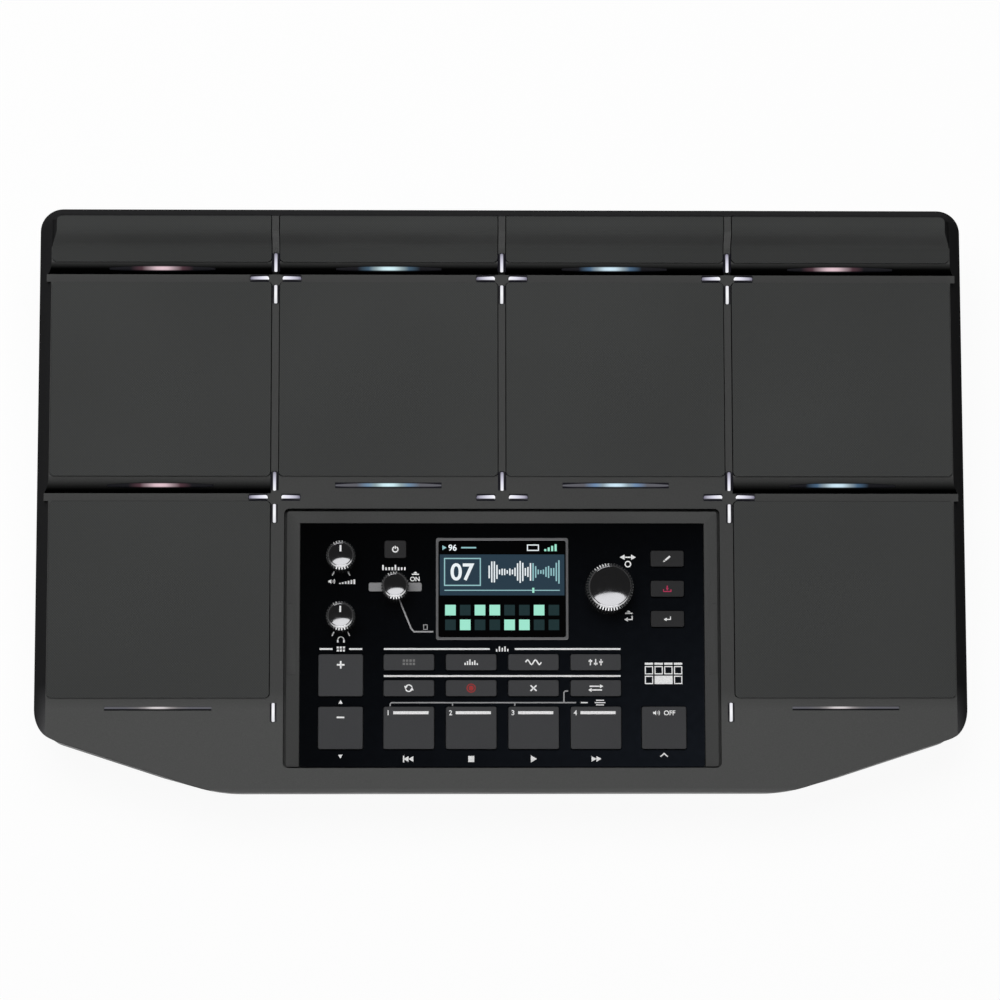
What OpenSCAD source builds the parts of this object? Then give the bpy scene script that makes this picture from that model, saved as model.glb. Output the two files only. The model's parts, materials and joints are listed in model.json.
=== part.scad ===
// Sampling drum pad: square pads and narrow bars round a recessed control panel.
// X runs to the right, Y to the back and Z up. The origin lies on the table, under the
// middle of the housing. The deck carries the pads and leans towards the player.

/* [Keys] */
// Width of the keys in the four middle columns
key_w = 21.6; // [16:0.1:24]
// Depth of the small keys in the two rows
key_d = 6.8; // [5:0.1:9]
// Distance between the middle key columns
key_pitch = 26.9; // [25.4:0.1:32]
// Space between the two rows of small keys
row_gap = 4.4; // [3.4:0.1:8]
// Depth of the large track keys
track_d = 18.1; // [12:0.1:24]
// Space between the track keys and the small keys
track_gap = 4.65; // [3.4:0.05:8]
// Width of the key columns at the two ends of the panel
side_key_w = 19; // [15:0.1:24]
// Space between the end columns and the middle columns
side_gap = 9.1; // [6:0.1:14]
// Width of the three menu keys
menu_w = 14.2; // [10:0.1:18]
// Width of the power key
power_w = 9.2; // [7:0.1:12]
// Depth of the power key
power_d = 7.5; // [5:0.1:8]
// Height of the keys above the panel
key_rise = 1.1; // [0.9:0.1:2]
// Travel of a pressed key
key_travel = 0.5; // [0.3:0.05:0.8]
// Clearance round each key in its opening
key_gap = 0.35; // [0.3:0.05:0.6]

/* [Screen] */
// Width of the screen frame
screen_w = 57.4; // [50:0.1:62]
// Depth of the screen frame
screen_d = 44.3; // [40:0.1:50]
// Width of the frame's rim
screen_rim = 1.1; // [0.8:0.1:3]
// Space between the screen frame and the rows of small keys
screen_gap = 6.35; // [6:0.05:12]

/* [Knobs] */
// Diameter of the two volume knobs
volume_knob_d = 12.6; // [11:0.1:16]
// Height of the small knobs
small_knob_h = 11; // [9:0.1:14]
// Diameter of the beat knob
beat_knob_d = 12; // [11:0.1:16]
// Diameter of the value knob
value_knob_d = 20.6; // [16:0.1:22]
// Height of the value knob
value_knob_h = 13; // [10:0.1:16]
// Distance of the volume knobs and outer menu keys from the screen's middle line
knob_pitch = 13.1; // [12.8:0.1:15]
// Distance of the beat and value knobs from the screen frame
knob_inset = 17.6; // [14:0.1:19]
// Diameter of the shafts
shaft_d = 6; // [4:0.1:6]
// Press travel of the beat and value knobs
push_travel = 0.5; // [0.3:0.05:0.6]

/* [Panel] */
// Space between the end key columns and the panel's side edges
panel_side = 8.1; // [7:0.1:14]
// Space in front of the track keys
panel_front = 7.65; // [6.5:0.05:12]
// Space behind the screen frame
panel_back = 6.15; // [5:0.05:12]
// Thickness of the panel
panel_t = 2; // [1.5:0.1:3]
// Depth of the panel's face below the deck
panel_drop = 2; // [1:0.1:2.5]
// Width of the bezel along the two sides of the panel
bezel_w = 5.2; // [3:0.1:7]
// Depth of the bezel along the back of the panel
bezel_d = 4.6; // [3:0.1:7]
// Width of the groove round the bezel
groove_w = 1.3; // [0.6:0.1:2]

/* [Pads] */
// Depth of the square pads
pad_d = 85.05; // [70:0.05:100]
// Width of the pads in the two outer columns
outer_pad_w = 95.4; // [70:0.1:110]
// Thickness of the pads' rubber
pad_t = 4.2; // [3:0.1:5]
// Height of the pads above the deck
pad_proud = 0.8; // [0.4:0.1:1.5]
// Corner radius of the pads
pad_r = 1.6; // [1:0.1:6]
// Gap between the pads and the ribs
pad_gap = 0.4; // [0.3:0.05:0.8]
// Width of the ribs between the pad columns
rib_w = 3; // [2.6:0.1:5]
// Gap between the pads and the ledges and rims
pad_fit = 0.15; // [0.1:0.05:0.4]
// Depth of the ledges between the pad rows
ledge_d = 3.3; // [2.8:0.1:5]
// Depth of the bars along the back
bar_d = 20.6; // [14:0.1:28]
// Height of the bars' crest above the deck
bar_rise = 5.5; // [3:0.1:9]
// Depth of the trough in front of the outer upper pads
side_trough_d = 7.65; // [6:0.05:12]
// Depth of the trough in front of the bars
bar_trough_d = 5.6; // [5:0.1:10]

/* [Lights] */
// Length of a light strip
strip_l = 46; // [30:0.5:60]
// Width of a light strip in a trough at its middle
strip_w = 2.3; // [1.6:0.1:3]
// Width of the two front light strips
front_strip_w = 1.5; // [1:0.1:2.5]
// Length of a cross's leg
leg_l = 8.1; // [5:0.1:12]
// Width of a leg near the cross's middle
leg_w = 1.9; // [1.2:0.1:2]

/* [Housing] */
// Lean of the deck
deck_tilt = 5; // [2:0.5:8]
// Height of the deck's front edge above the table
front_h = 34; // [32:0.5:45]
// Width of the sloping side lips
lip_w = 6.4; // [4:0.1:8]
// Width of the sloping back lip
back_lip_w = 4.6; // [3:0.1:8]
// Height of the sloping lips
lip_h = 13; // [9:0.1:14]
// Depth of the slanted front corners
slant_d = 26; // [16:0.5:40]
// Width of the straight front edge
front_w = 247; // [215:1:300]
// Radius of the back corners
back_r = 10; // [5:0.5:20]
// Radius where the sides meet the slanted front
side_r = 15; // [5:0.5:30]
// Radius where the slants meet the front edge
front_r = 70; // [10:1:90]
// Depth of the joint between the cases below the deck
split_d = 16; // [15:0.5:18]
// Thickness of the deck
deck_t = 6.5; // [6:0.1:8]
// Wall of the bottom case
wall = 2.5; // [2:0.1:4]

/* [Base] */
// Height of the feet below the base
foot_h = 4; // [2:0.5:8]
// Diameter of the feet
foot_d = 20; // [12:0.5:26]
// Distance between the stand holes from left to right
stand_x = 100; // [60:1:140]
// Distance between the stand holes from front to back
stand_y = 75; // [50:1:90]
// Diameter of the stand inserts' bore, for a 5 mm thread
stand_bore_d = 4.2; // [3.3:0.1:5]
// Diameter of the bore in the output jacks
jack_bore_d = 6.5; // [6.4:0.05:6.7]
// Distance between the output jacks
jack_pitch = 22; // [16:0.5:22]

/* [Hidden] */
$fn = 64;

case_color = "#474747";
rubber_color = "#3d403e";
panel_color = "#08090b";
key_color = "#3e3f41";
board_color = "#1d5a33";
metal_color = "#a9abad";
lens_color = "#e9e9f4";

// Clearance of pieces that sit in a pocket or slot
seat_gap = 0.1;
// Radial clearance of a shaft in its bore
run_gap = 0.05;
// Clearance between pieces that move past each other
move_gap = 0.3;
// Overlap that lets a cut pass cleanly through a face
cut = 1;

// Control panel, measured from its front edge, with its face at height 0
panel_w = 2 * (panel_side + side_key_w + side_gap + key_w / 2 + 1.5 * key_pitch);
panel_d = panel_front + track_d + track_gap + 2 * key_d + row_gap + screen_gap + screen_d + panel_back;
panel_r = 1;
panel_gap = 0.6;
panel_lip = 3.5;
side_x = panel_w / 2 - panel_side - side_key_w / 2;
track_y = panel_front + track_d / 2;
edit_y = panel_front + track_d + track_gap + key_d / 2;
mode_y = edit_y + key_d + row_gap;
kit_d = 2 * key_d + row_gap;
screen_y = mode_y + key_d / 2 + screen_gap + screen_d / 2;
beat_x = -(screen_w / 2 + knob_inset);
value_x = screen_w / 2 + knob_inset;
menu_shift = 1.8;
knob_back = 0.8;
power_back = 1.3;
power_y = screen_y + screen_d / 2 - power_back - power_d / 2;
function column_x(i) = (i - 2.5) * key_pitch;

// Name, place and size of every key
KEYS = concat(
    [["power_key", beat_x, power_y, power_w, power_d],
     ["kit_up_key", -side_x, (edit_y + mode_y) / 2, side_key_w, kit_d],
     ["kit_down_key", -side_x, track_y, side_key_w, track_d],
     ["mute_key", side_x, track_y, side_key_w, track_d]],
    [for (i = [1:4]) [str("mode_key_", i), column_x(i), mode_y, key_w, key_d]],
    [for (i = [1:4]) [str("edit_key_", i), column_x(i), edit_y, key_w, key_d]],
    [for (i = [1:4]) [str("track_key_", i), column_x(i), track_y, key_w, track_d]],
    [for (i = [1:3]) [str("menu_key_", i), side_x + menu_shift, screen_y + (2 - i) * knob_pitch,
                      menu_w, key_d]]
);
key_r = 0.8;
flange_w = 0.8;
flange_t = 1;
key_foot_d = 3;
key_foot_h = 0.9;
switch_w = 6;
switch_h = 3.5;
switch_top = -(panel_t + move_gap + flange_t + key_foot_h + key_travel + move_gap);

// Name, place, diameter and height of every knob
KNOBS = [
    ["main_volume", -side_x, screen_y + knob_back + knob_pitch, volume_knob_d, small_knob_h],
    ["phones", -side_x, screen_y + knob_back - knob_pitch, volume_knob_d, small_knob_h],
    ["beat", beat_x, screen_y + knob_back, beat_knob_d, small_knob_h],
    ["value", value_x, screen_y, value_knob_d, value_knob_h]
];
VOLUME = [0, 1];
ENCODER = [2, 3];
knob_lift = push_travel + 0.4;
knob_skin = 2;
knob_cap_share = 0.86;
flute_d = 0.8;
flute_pitch = 1.35;
pointer_w = 0.9;
pointer_t = 0.4;

// Boards, pots and encoders under the panel
board_t = 1.6;
panel_board_z = switch_top - switch_h;
panel_board_edge = 8;
pot_w = 9.8;
encoder_w = 12;
pot_h = 5.2;
pot_floor = 0.7;
plunger_d = 8.2;
plunger_t = 1;
plunger_floor = 0.4;
plunger_z = panel_board_z + plunger_floor + push_travel + 0.2;
shaft_hole_d = shaft_d + 1.4;
post_d = 4.4;
slim_post_d = 3.2;

// Screen pieces
glass_drop = 0.25;
frame_rise = 0.35;
display_edge = min(3, panel_back - panel_lip - 0.5);
display_t = 4;

// Windows beside the beat knob
beat_lens_w = 22.9;
beat_lens_d = 3.7;
beat_lens_rise = 0.3;
beat_lens_r = 0.8;

// Deck, measured from the line through the front crosses, with the ledges' tops at height 0
border_w = 2.75;
border_d = 3.25;
bezel_x = panel_w / 2 + panel_gap + bezel_w;
groove_x = bezel_x + groove_w;
column_pitch = groove_x + border_w + rib_w / 2;
panel_back_y = -ledge_d / 2 - border_d - groove_w - bezel_d - panel_gap;
panel_front_y = panel_back_y - panel_d;
inner_x = rib_w / 2 + pad_gap;
outer_x = column_pitch + inner_x;
pad_edge_x = outer_x + outer_pad_w;
lower_pad_y = -ledge_d / 2 - pad_fit - pad_d;
trough_back_y = ledge_d / 2 + side_trough_d;
upper_pad_y = trough_back_y + pad_fit;
back_line_y = upper_pad_y + pad_d + pad_fit + ledge_d / 2;
bar_trough_y = back_line_y + ledge_d / 2 + bar_trough_d;
bar_y = bar_trough_y + pad_fit;
slope_from = 0.28;
slope_to = 0.64;
ridge_h = bar_rise - pad_fit;
rim_top = 0.4;
deck_back_y = bar_y + bar_d + pad_fit + rim_top + back_lip_w;
strip_room = 15;
slant_y = lower_pad_y - strip_room;
deck_front_y = slant_y - slant_d;
deck_edge_x = pad_edge_x + pad_fit + rim_top;
half_w = deck_edge_x + lip_w;
half_d = (deck_back_y - deck_front_y) / 2;
mid_y = (deck_back_y + deck_front_y) / 2;
sensor_t = 0.4;
pad_seat = pad_t - pad_proud + sensor_t;
trough_floor = 0.6;
trough_h = min(4.2, bar_trough_d - trough_floor - 0.2);
tab_w = 2;
tab_h = tab_w * lip_h / lip_w + 0.6;
front_edge_r = 2;
rim_t = lip_w * max(1 - deck_t / lip_h, 0) + 1.2;

// Columns from left to right, as the lowest and highest X of each pad
COLUMNS = [
    [-pad_edge_x, -outer_x],
    [-column_pitch + inner_x, -inner_x],
    [inner_x, column_pitch - inner_x],
    [outer_x, pad_edge_x]
];

// Pads from the back left to the front right, as column number and lowest Y
PADS = [[0, upper_pad_y], [1, upper_pad_y], [2, upper_pad_y], [3, upper_pad_y],
        [0, lower_pad_y], [3, lower_pad_y]];

// Light strips: middle X and Y, the radius of the slope that carries each (0 on the flat deck),
// the width at the middle and the share of it that is left at the ends
strip_share = 0.58;
strip_end = 0.3;
strip_front = 4.8;
strip_proud = 0.2;
side_slope_r = side_trough_d - trough_floor;
bar_slope_r = bar_trough_d - trough_floor;
side_strip_y = trough_back_y - strip_share * side_slope_r;
function middle(c) = (COLUMNS[c][0] + COLUMNS[c][1]) / 2;
STRIPS = concat(
    [for (c = [0:3]) [middle(c), bar_trough_y - strip_share * bar_slope_r, bar_slope_r, strip_w, strip_end]],
    [for (c = [0, 3]) [middle(c), side_strip_y, side_slope_r, strip_w, strip_end]],
    [for (c = [1, 2]) [middle(c), side_strip_y, 0, strip_w, strip_end]],
    [for (c = [0, 3]) [middle(c), lower_pad_y - strip_front, 0, front_strip_w, 1]]
);

// Legs of the crosses: middle X and Y, and the directions of the legs
leg_start = 3;
leg_taper = 0.74;
single_leg_front = 2.4;
leg_proud = 0.15;
CROSSES = concat(
    [for (s = [-1:1]) [s * column_pitch, back_line_y, [0, 90, 180, 270]]],
    [for (s = [-1, 1]) [s * column_pitch, 0, [0, 90, 180, 270]]],
    [[0, 0, [0, 90, 180]]],
    [for (s = [-1, 1]) [s * column_pitch, lower_pad_y + leg_start - single_leg_front, [270]]]
);
light_board_t = 1.2;
strip_board_d = 6;
cross_board_reach = 1;

// Housing
deck_z = front_h + half_d * sin(deck_tilt);
deck_y = -split_d * sin(deck_tilt) / 2;
split_y = deck_y + split_d * sin(deck_tilt);
shadow = 1.2;
base_chamfer_w = 8;
base_chamfer_h = 11;
base_z = foot_h + wall;
tub_h = 2 * deck_z;
back_y = split_y + half_d - shadow;
OUTLINE = [[front_w / 2, deck_front_y], [half_w, slant_y], [half_w, deck_back_y],
           [-half_w, deck_back_y], [-half_w, slant_y], [-front_w / 2, deck_front_y]];
OUTLINE_R = [front_r, side_r, back_r, back_r, side_r, front_r];
arc_steps = 10;

// Case screws
screw_d = 3;
screw_l = 16;
screw_head_d = 6;
screw_head_h = 2.2;
boss_d = 8;
boss_inset = 16;
screw_seat = 7;
SCREWS = [for (s = [-1, 1]) each [
    [s * (half_w - boss_inset), deck_back_y - 1.3 * boss_inset],
    [s * (half_w - boss_inset), lower_pad_y + pad_d / 2],
    [s * (front_w / 2 - boss_inset), deck_front_y + boss_inset]
]];

// Feet and stand inserts
foot_seat = 1;
back_foot_inset = [40, 34];
front_foot_inset = [46, 42];
FEET = [for (s = [-1, 1]) each [
    [s * (half_w - back_foot_inset[0]), half_d - back_foot_inset[1]],
    [s * (half_w - front_foot_inset[0]), front_foot_inset[1] - half_d]
]];
insert_d = 8;
insert_l = 7;
insert_wall = 2;
STAND = [for (x = [-1, 1], y = [-1, 1]) [x * stand_x / 2, y * stand_y / 2]];

// Main board and the connectors along the back
main_board_z = base_z + 6;
main_board_w = 310;
main_board_d = 90;
board_post_d = 6;
board_back = 6;
connector_z = main_board_z + board_t;
jack_w = 12;
jack_h = 14;
jack_l = 24;
bush_d = 9;
bush_proud = 0.6;
jack_count = 6;
jack_x = 40;
midi_w = 18;
midi_d = 15.2;
midi_l = 13;
usb_w = 12;
usb_h = 11;
usb_l = 16;
dc_w = 9;
dc_h = 11;
dc_l = 13;
dc_inset = 13;
usb_pitch = 22;
midi_pitch = 25;
dc_x = main_board_w / 2 - dc_inset;
usb_x = dc_x - usb_pitch;
MIDI_X = [usb_x - 2 * midi_pitch, usb_x - midi_pitch];

// Places and frames

module on_deck() {
    translate([0, deck_y, deck_z])
        rotate([deck_tilt, 0, 0])
            translate([0, -mid_y, 0])
                children();
}

module on_panel() {
    on_deck()
        translate([0, panel_front_y, -panel_drop])
            children();
}

function deck_point(p) =
    let (y = p[1] - mid_y)
    [p[0], deck_y + y * cos(deck_tilt) - p[2] * sin(deck_tilt),
     deck_z + y * sin(deck_tilt) + p[2] * cos(deck_tilt)];

// Outlines with inset edges and true arcs at the corners

function unit(v) = v / norm(v);
function left_of(v) = [-v[1], v[0]];
function inset_corner(a, b, c, t) =
    let (n1 = left_of(unit(b - a)), n2 = left_of(unit(c - b)))
    b + (n1 + n2) * t / (1 + n1 * n2);
function corner_arc(a, b, c, r) =
    let (d1 = unit(b - a), d2 = unit(c - b), turn = acos(d1 * d2),
         start = b - d1 * r * tan(turn / 2), middle = start + left_of(d1) * r,
         first = atan2(start[1] - middle[1], start[0] - middle[0]))
    [for (i = [0:arc_steps]) middle + r * [cos(first + turn * i / arc_steps), sin(first + turn * i / arc_steps)]];
function around(list, i) = list[(i + len(list)) % len(list)];
function inset_outline(t) =
    [for (i = [0:len(OUTLINE) - 1])
        inset_corner(around(OUTLINE, i - 1), OUTLINE[i], around(OUTLINE, i + 1), t)];
function rounded(points, radii) =
    [for (i = [0:len(points) - 1])
        each corner_arc(around(points, i - 1), points[i], around(points, i + 1), radii[i])];

module plan(t) {
    polygon(rounded(inset_outline(t), [for (r = OUTLINE_R) max(r - t, 1)]));
}

module rounded_rect(w, d, r) {
    square([w - 2 * r, d], center = true);
    square([w, d - 2 * r], center = true);
    for (x = [-1, 1], y = [-1, 1])
        translate([x * (w / 2 - r), y * (d / 2 - r)])
            circle(r);
}

// A rounded block between two corners, from z0 to z1
module block(x0, x1, y0, y1, z0, z1, r) {
    translate([(x0 + x1) / 2, (y0 + y1) / 2, z0])
        linear_extrude(z1 - z0)
            rounded_rect(x1 - x0, y1 - y0, r);
}

// Extrudes an outline of X and Z along Y
module along_y(length) {
    rotate([90, 0, 0])
        linear_extrude(length, center = true)
            children();
}

// Extrudes an outline of Y and Z along X
module along_x(length) {
    rotate([90, 0, 90])
        linear_extrude(length, center = true)
            children();
}

// Everything inside one lip, turned about the middle of the right back corner
module inside_lip(turn, w, r) {
    top = bar_rise + cut;
    low = -split_d - cut;
    far = 6 * half_w;
    function reach(z) = r - w * (1 + z / lip_h);
    translate([half_w - back_r, deck_back_y - back_r, 0])
        rotate([0, 0, turn])
            along_y(far)
                polygon([[-far, low], [reach(low), low], [reach(top), top], [-far, top]]);
}

// Everything inside the lips of the sides, the back and the rounded corners between them
module inside_lips() {
    flat = 90 / arc_steps;
    for_sides = [[0, lip_w, back_r], [90, back_lip_w, back_r]];
    for_corner = [for (i = [0.5:arc_steps])
        [i * flat, lip_w + (back_lip_w - lip_w) * i / arc_steps, back_r * cos(flat / 2)]];
    intersection_for(lip = concat(for_sides, for_corner))
        intersection() {
            inside_lip(lip[0], lip[1], lip[2]);
            mirror([1, 0, 0])
                inside_lip(lip[0], lip[1], lip[2]);
        }
}

function arc(y, z, r, from) = [for (a = [0:15:90]) [y + r * cos(from + a), z + r * sin(from + a)]];

// The steep rise of the bars and of the ridge that carries them, from its top down to its foot
function bar_slope(low, high) = [for (u = [1:-0.1:0])
    [bar_y + bar_d * (slope_from + (slope_to - slope_from) * u), low + (high - low) * u * u * (3 - 2 * u)]];

// Section from front to back, with a rounded front edge and the ridge along the back
module end_section() {
    polygon(concat(
        [[deck_front_y, -split_d], [deck_back_y, -split_d], [deck_back_y, ridge_h]],
        bar_slope(0, ridge_h),
        arc(deck_front_y + front_edge_r, -front_edge_r, front_edge_r, 90)
    ));
}

// Lights

module strip_shape(extra, w, end) {
    steps = 8;
    half_l = strip_l / 2 + extra;
    function half_width(u) = extra + w / 2 * (end + (1 - end) * (1 - u * u));
    right_to_left = [for (i = [steps:-1:-steps]) [half_l * i / steps, half_width(i / steps)]];
    left_to_right = [for (i = [-steps:steps]) [half_l * i / steps, -half_width(i / steps)]];
    polygon(concat(right_to_left, left_to_right));
}

module leg_shape(extra) {
    r1 = leg_w / 2;
    r2 = r1 * leg_taper;
    x1 = leg_start + r1;
    x2 = leg_start + leg_l - r2;
    polygon([[x1, -r1 - extra], [x2, -r2 - extra], [x2, r2 + extra], [x1, r1 + extra]]);
    translate([x1, 0])
        circle(r1 + extra, $fn = 32);
    translate([x2, 0])
        circle(r2 + extra, $fn = 32);
}

module strip_prism(s, extra, z0, z1) {
    translate([s[0], s[1], z0])
        linear_extrude(z1 - z0)
            strip_shape(extra, s[3], s[4]);
}

// The rounded slope at the back of a trough, with its crest on the deck
module slope(y, r, extra) {
    translate([0, y, -r])
        rotate([0, 90, 0])
            cylinder(r = r + extra, h = 2 * half_w + 2 * cut, center = true, $fn = 128);
}

module legs(extra, z0, z1) {
    for (c = CROSSES, a = c[2])
        translate([c[0], c[1], z0])
            rotate([0, 0, a])
                linear_extrude(z1 - z0)
                    leg_shape(extra);
}

module strip_lenses() {
    color(lens_color)
        on_deck()
            for (s = STRIPS)
                if (s[2] > 0)
                    intersection() {
                        strip_prism(s, 0, -deck_t, 0);
                        slope(s[1] + strip_share * s[2], s[2], strip_proud);
                    }
                else
                    strip_prism(s, 0, -deck_t, strip_proud);
}

module cross_lenses() {
    color(lens_color)
        on_deck()
            legs(0, -deck_t, leg_proud);
}

module light_boards() {
    reach = leg_start + leg_l + cross_board_reach;
    color(board_color)
        on_deck()
            translate([0, 0, -deck_t - light_board_t]) {
                for (s = STRIPS)
                    translate([s[0], s[1], light_board_t / 2])
                        cube([strip_l, strip_board_d, light_board_t], center = true);
                for (c = CROSSES)
                    translate([c[0], c[1], 0])
                        linear_extrude(light_board_t)
                            for (a = c[2])
                                rotate([0, 0, a])
                                    translate([0, -strip_board_d / 2])
                                        square([reach, strip_board_d]);
            }
}

// Pads

module drum_pad(i) {
    c = COLUMNS[PADS[i][0]];
    y = PADS[i][1];
    color(rubber_color)
        on_deck()
            block(c[0], c[1], y, y + pad_d, sensor_t - pad_seat, pad_proud, pad_r);
}

// Profile of a bar: a low front, a steep rise and the crest
module bar_section() {
    base = sensor_t - pad_seat;
    polygon(concat(
        [[bar_y, base], [deck_back_y, base], [deck_back_y, bar_rise]],
        bar_slope(pad_proud, bar_rise),
        [[bar_y, pad_proud]]
    ));
}

module bar_pads() {
    color(rubber_color)
        on_deck()
            intersection() {
                along_x(2 * half_w)
                    bar_section();
                inside_lips();
                for (c = COLUMNS)
                    block(c[0], c[1], bar_y, bar_y + bar_d, -pad_seat, bar_rise + cut, pad_r);
            }
}

module pad_sensors() {
    inset = 2;
    color("#b98d4a")
        on_deck() {
            for (p = PADS)
                let (c = COLUMNS[p[0]])
                    block(c[0] + inset, c[1] - inset, p[1] + inset, p[1] + pad_d - inset,
                          -pad_seat, sensor_t - pad_seat, pad_r);
            for (c = COLUMNS)
                block(c[0] + inset, c[1] - inset, bar_y + inset, bar_y + bar_d - inset,
                      -pad_seat, sensor_t - pad_seat, pad_r);
        }
}

// Cases

module ledge_tabs() {
    for (y = [0, back_line_y], side = [0, 1])
        mirror([side, 0, 0])
            translate([deck_edge_x - tab_w, y - ledge_d / 2, -tab_h])
                cube([2 * tab_w, ledge_d, tab_h]);
}

module top_body() {
    difference() {
        intersection() {
            translate([0, 0, -split_d])
                linear_extrude(split_d + ridge_h)
                    plan(0);
            inside_lips();
            along_x(4 * half_w)
                end_section();
        }
        translate([0, 0, -split_d - cut])
            linear_extrude(split_d + cut - deck_t)
                plan(rim_t);
    }
    ledge_tabs();
    for (s = SCREWS)
        translate([s[0], s[1], -split_d])
            cylinder(d = boss_d, h = split_d - deck_t + cut);
}

module trough(x0, x1, y, depth, r) {
    difference() {
        translate([x0, y - depth, -trough_h])
            cube([x1 - x0, depth, trough_h + cut]);
        slope(y, r, 0);
    }
}

module troughs() {
    for (side = [0, 1])
        mirror([side, 0, 0]) {
            trough(column_pitch + rib_w / 2, half_w + cut, trough_back_y, side_trough_d, side_slope_r);
            trough(column_pitch + rib_w / 2, half_w + cut, bar_trough_y, bar_trough_d, bar_slope_r);
            trough(rib_w / 2, column_pitch - rib_w / 2, bar_trough_y, bar_trough_d, bar_slope_r);
        }
}

// A pocket with a gap along the ribs and a close fit everywhere else
module pad_pocket(column, y, depth, top) {
    c = COLUMNS[column];
    left = column == 0 ? pad_fit : pad_gap;
    right = column == 3 ? pad_fit : pad_gap;
    block(c[0] - left, c[1] + right, y - pad_fit, y + depth + pad_fit, -pad_seat, top, pad_r + pad_fit);
}

module pad_pockets() {
    for (p = PADS)
        pad_pocket(p[0], p[1], pad_d, cut);
    for (column = [0:3])
        pad_pocket(column, bar_y, bar_d, bar_rise + cut);
}

module panel_opening() {
    seat = panel_drop + panel_t;
    back = panel_back_y + panel_gap + bezel_d + groove_w;
    block(-groove_x, groove_x, panel_front_y - panel_gap, back, -seat, cut, groove_w + panel_r);
    block(panel_lip - panel_w / 2, panel_w / 2 - panel_lip, panel_front_y + panel_lip,
          panel_back_y - panel_lip, -deck_t - cut, cut, panel_r);
}

module screw_axes() {
    for (s = SCREWS)
        translate(deck_point([s[0], s[1], -split_d]))
            children();
}

module top_case() {
    color(case_color)
        difference() {
            on_deck()
                difference() {
                    top_body();
                    pad_pockets();
                    troughs();
                    panel_opening();
                    for (s = STRIPS)
                        strip_prism(s, seat_gap, -deck_t - cut, cut);
                    legs(seat_gap, -deck_t - cut, cut);
                }
            screw_axes()
                translate([0, 0, -cut])
                    cylinder(d = screw_d + 2 * run_gap, h = screw_l - screw_seat + cut + move_gap);
        }
}

// Everything below the joint between the cases
module below_split() {
    size = 4 * half_w;
    on_deck()
        translate([-size / 2, mid_y - size / 2, -split_d - size])
            cube(size);
}

// The bottom case's outer form, or its hollow when t is the wall
module tub(t) {
    side = half_w - shadow - t;
    front = split_y - half_d + shadow + t;
    low = foot_h + t;
    bend = foot_h + base_chamfer_h + t / 2;
    intersection() {
        translate([0, split_y - mid_y, low])
            linear_extrude(tub_h)
                plan(shadow + t);
        along_y(4 * half_d)
            polygon([[base_chamfer_w - side, low], [side - base_chamfer_w, low], [side, bend],
                     [side, low + tub_h], [-side, low + tub_h], [-side, bend]]);
        along_x(4 * half_w)
            polygon([[front + base_chamfer_w, low], [2 * half_d, low], [2 * half_d, low + tub_h],
                     [front, low + tub_h], [front, bend]]);
    }
}

module screw_posts() {
    screw_axes()
        translate([0, 0, -tub_h])
            cylinder(d = boss_d + 1, h = 2 * tub_h);
}

module screw_wells() {
    screw_axes() {
        translate([0, 0, -tub_h])
            cylinder(d = screw_head_d + 2 * move_gap, h = tub_h - screw_seat);
        translate([0, 0, -tub_h])
            cylinder(d = screw_d + 2 * move_gap, h = 2 * tub_h);
    }
}

module main_board_posts() {
    for (x = [-0.45, 0, 0.45], y = [0.1, 0.9])
        translate([x * main_board_w, back_y - wall - board_back - y * main_board_d, foot_h])
            cylinder(d = board_post_d, h = main_board_z - foot_h);
}

module connector_holes() {
    translate([0, back_y, connector_z]) {
        for (i = [0:jack_count - 1])
            translate([jack_x - i * jack_pitch, 0, jack_h / 2])
                along_y(4 * wall)
                    circle(d = bush_d + 4 * seat_gap);
        for (x = MIDI_X)
            translate([x, 0, midi_w / 2])
                along_y(4 * wall)
                    circle(d = midi_d + 4 * seat_gap);
        translate([usb_x, 0, usb_h / 2])
            along_y(4 * wall)
                square([usb_w + 2 * seat_gap, usb_h + 2 * seat_gap], center = true);
        translate([dc_x, 0, dc_h / 2])
            along_y(4 * wall)
                circle(d = dc_w + 4 * seat_gap);
    }
}

module bottom_case() {
    color(case_color)
        difference() {
            intersection() {
                union() {
                    difference() {
                        tub(0);
                        tub(wall);
                    }
                    intersection() {
                        tub(0);
                        union() {
                            screw_posts();
                            main_board_posts();
                            for (p = STAND)
                                translate([p[0], p[1], foot_h])
                                    cylinder(d = insert_d + 2 * insert_wall, h = insert_l + move_gap);
                        }
                    }
                }
                below_split();
            }
            screw_wells();
            connector_holes();
            for (p = STAND)
                translate([p[0], p[1], foot_h - cut])
                    cylinder(d = insert_d + 2 * run_gap, h = insert_l + cut + 2 * move_gap);
            for (p = FEET)
                translate([p[0], p[1], foot_h - cut])
                    cylinder(d = foot_d + 2 * seat_gap, h = foot_seat + cut);
        }
}

module rubber_feet() {
    rim = 1;
    color("#1c1c1c")
        for (p = FEET)
            translate([p[0], p[1], 0])
                rotate_extrude()
                    polygon([[0, 0], [foot_d / 2 - rim, 0], [foot_d / 2, rim],
                             [foot_d / 2, foot_h + foot_seat], [0, foot_h + foot_seat]]);
}

module stand_inserts() {
    color("#b08d3c")
        for (p = STAND)
            translate([p[0], p[1], foot_h])
                difference() {
                    cylinder(d = insert_d, h = insert_l);
                    translate([0, 0, -cut])
                        cylinder(d = stand_bore_d, h = insert_l + 2 * cut);
                }
}

module case_screws() {
    socket_d = 2;
    color(metal_color)
        screw_axes()
            translate([0, 0, -screw_seat])
                difference() {
                    union() {
                        cylinder(d = screw_d, h = screw_l);
                        translate([0, 0, -screw_head_h])
                            cylinder(d = screw_head_d, h = screw_head_h);
                    }
                    translate([0, 0, -screw_head_h - cut])
                        cylinder(d = socket_d, h = cut + screw_head_h / 2, $fn = 6);
                }
}

// Control panel and the pieces in it

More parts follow.
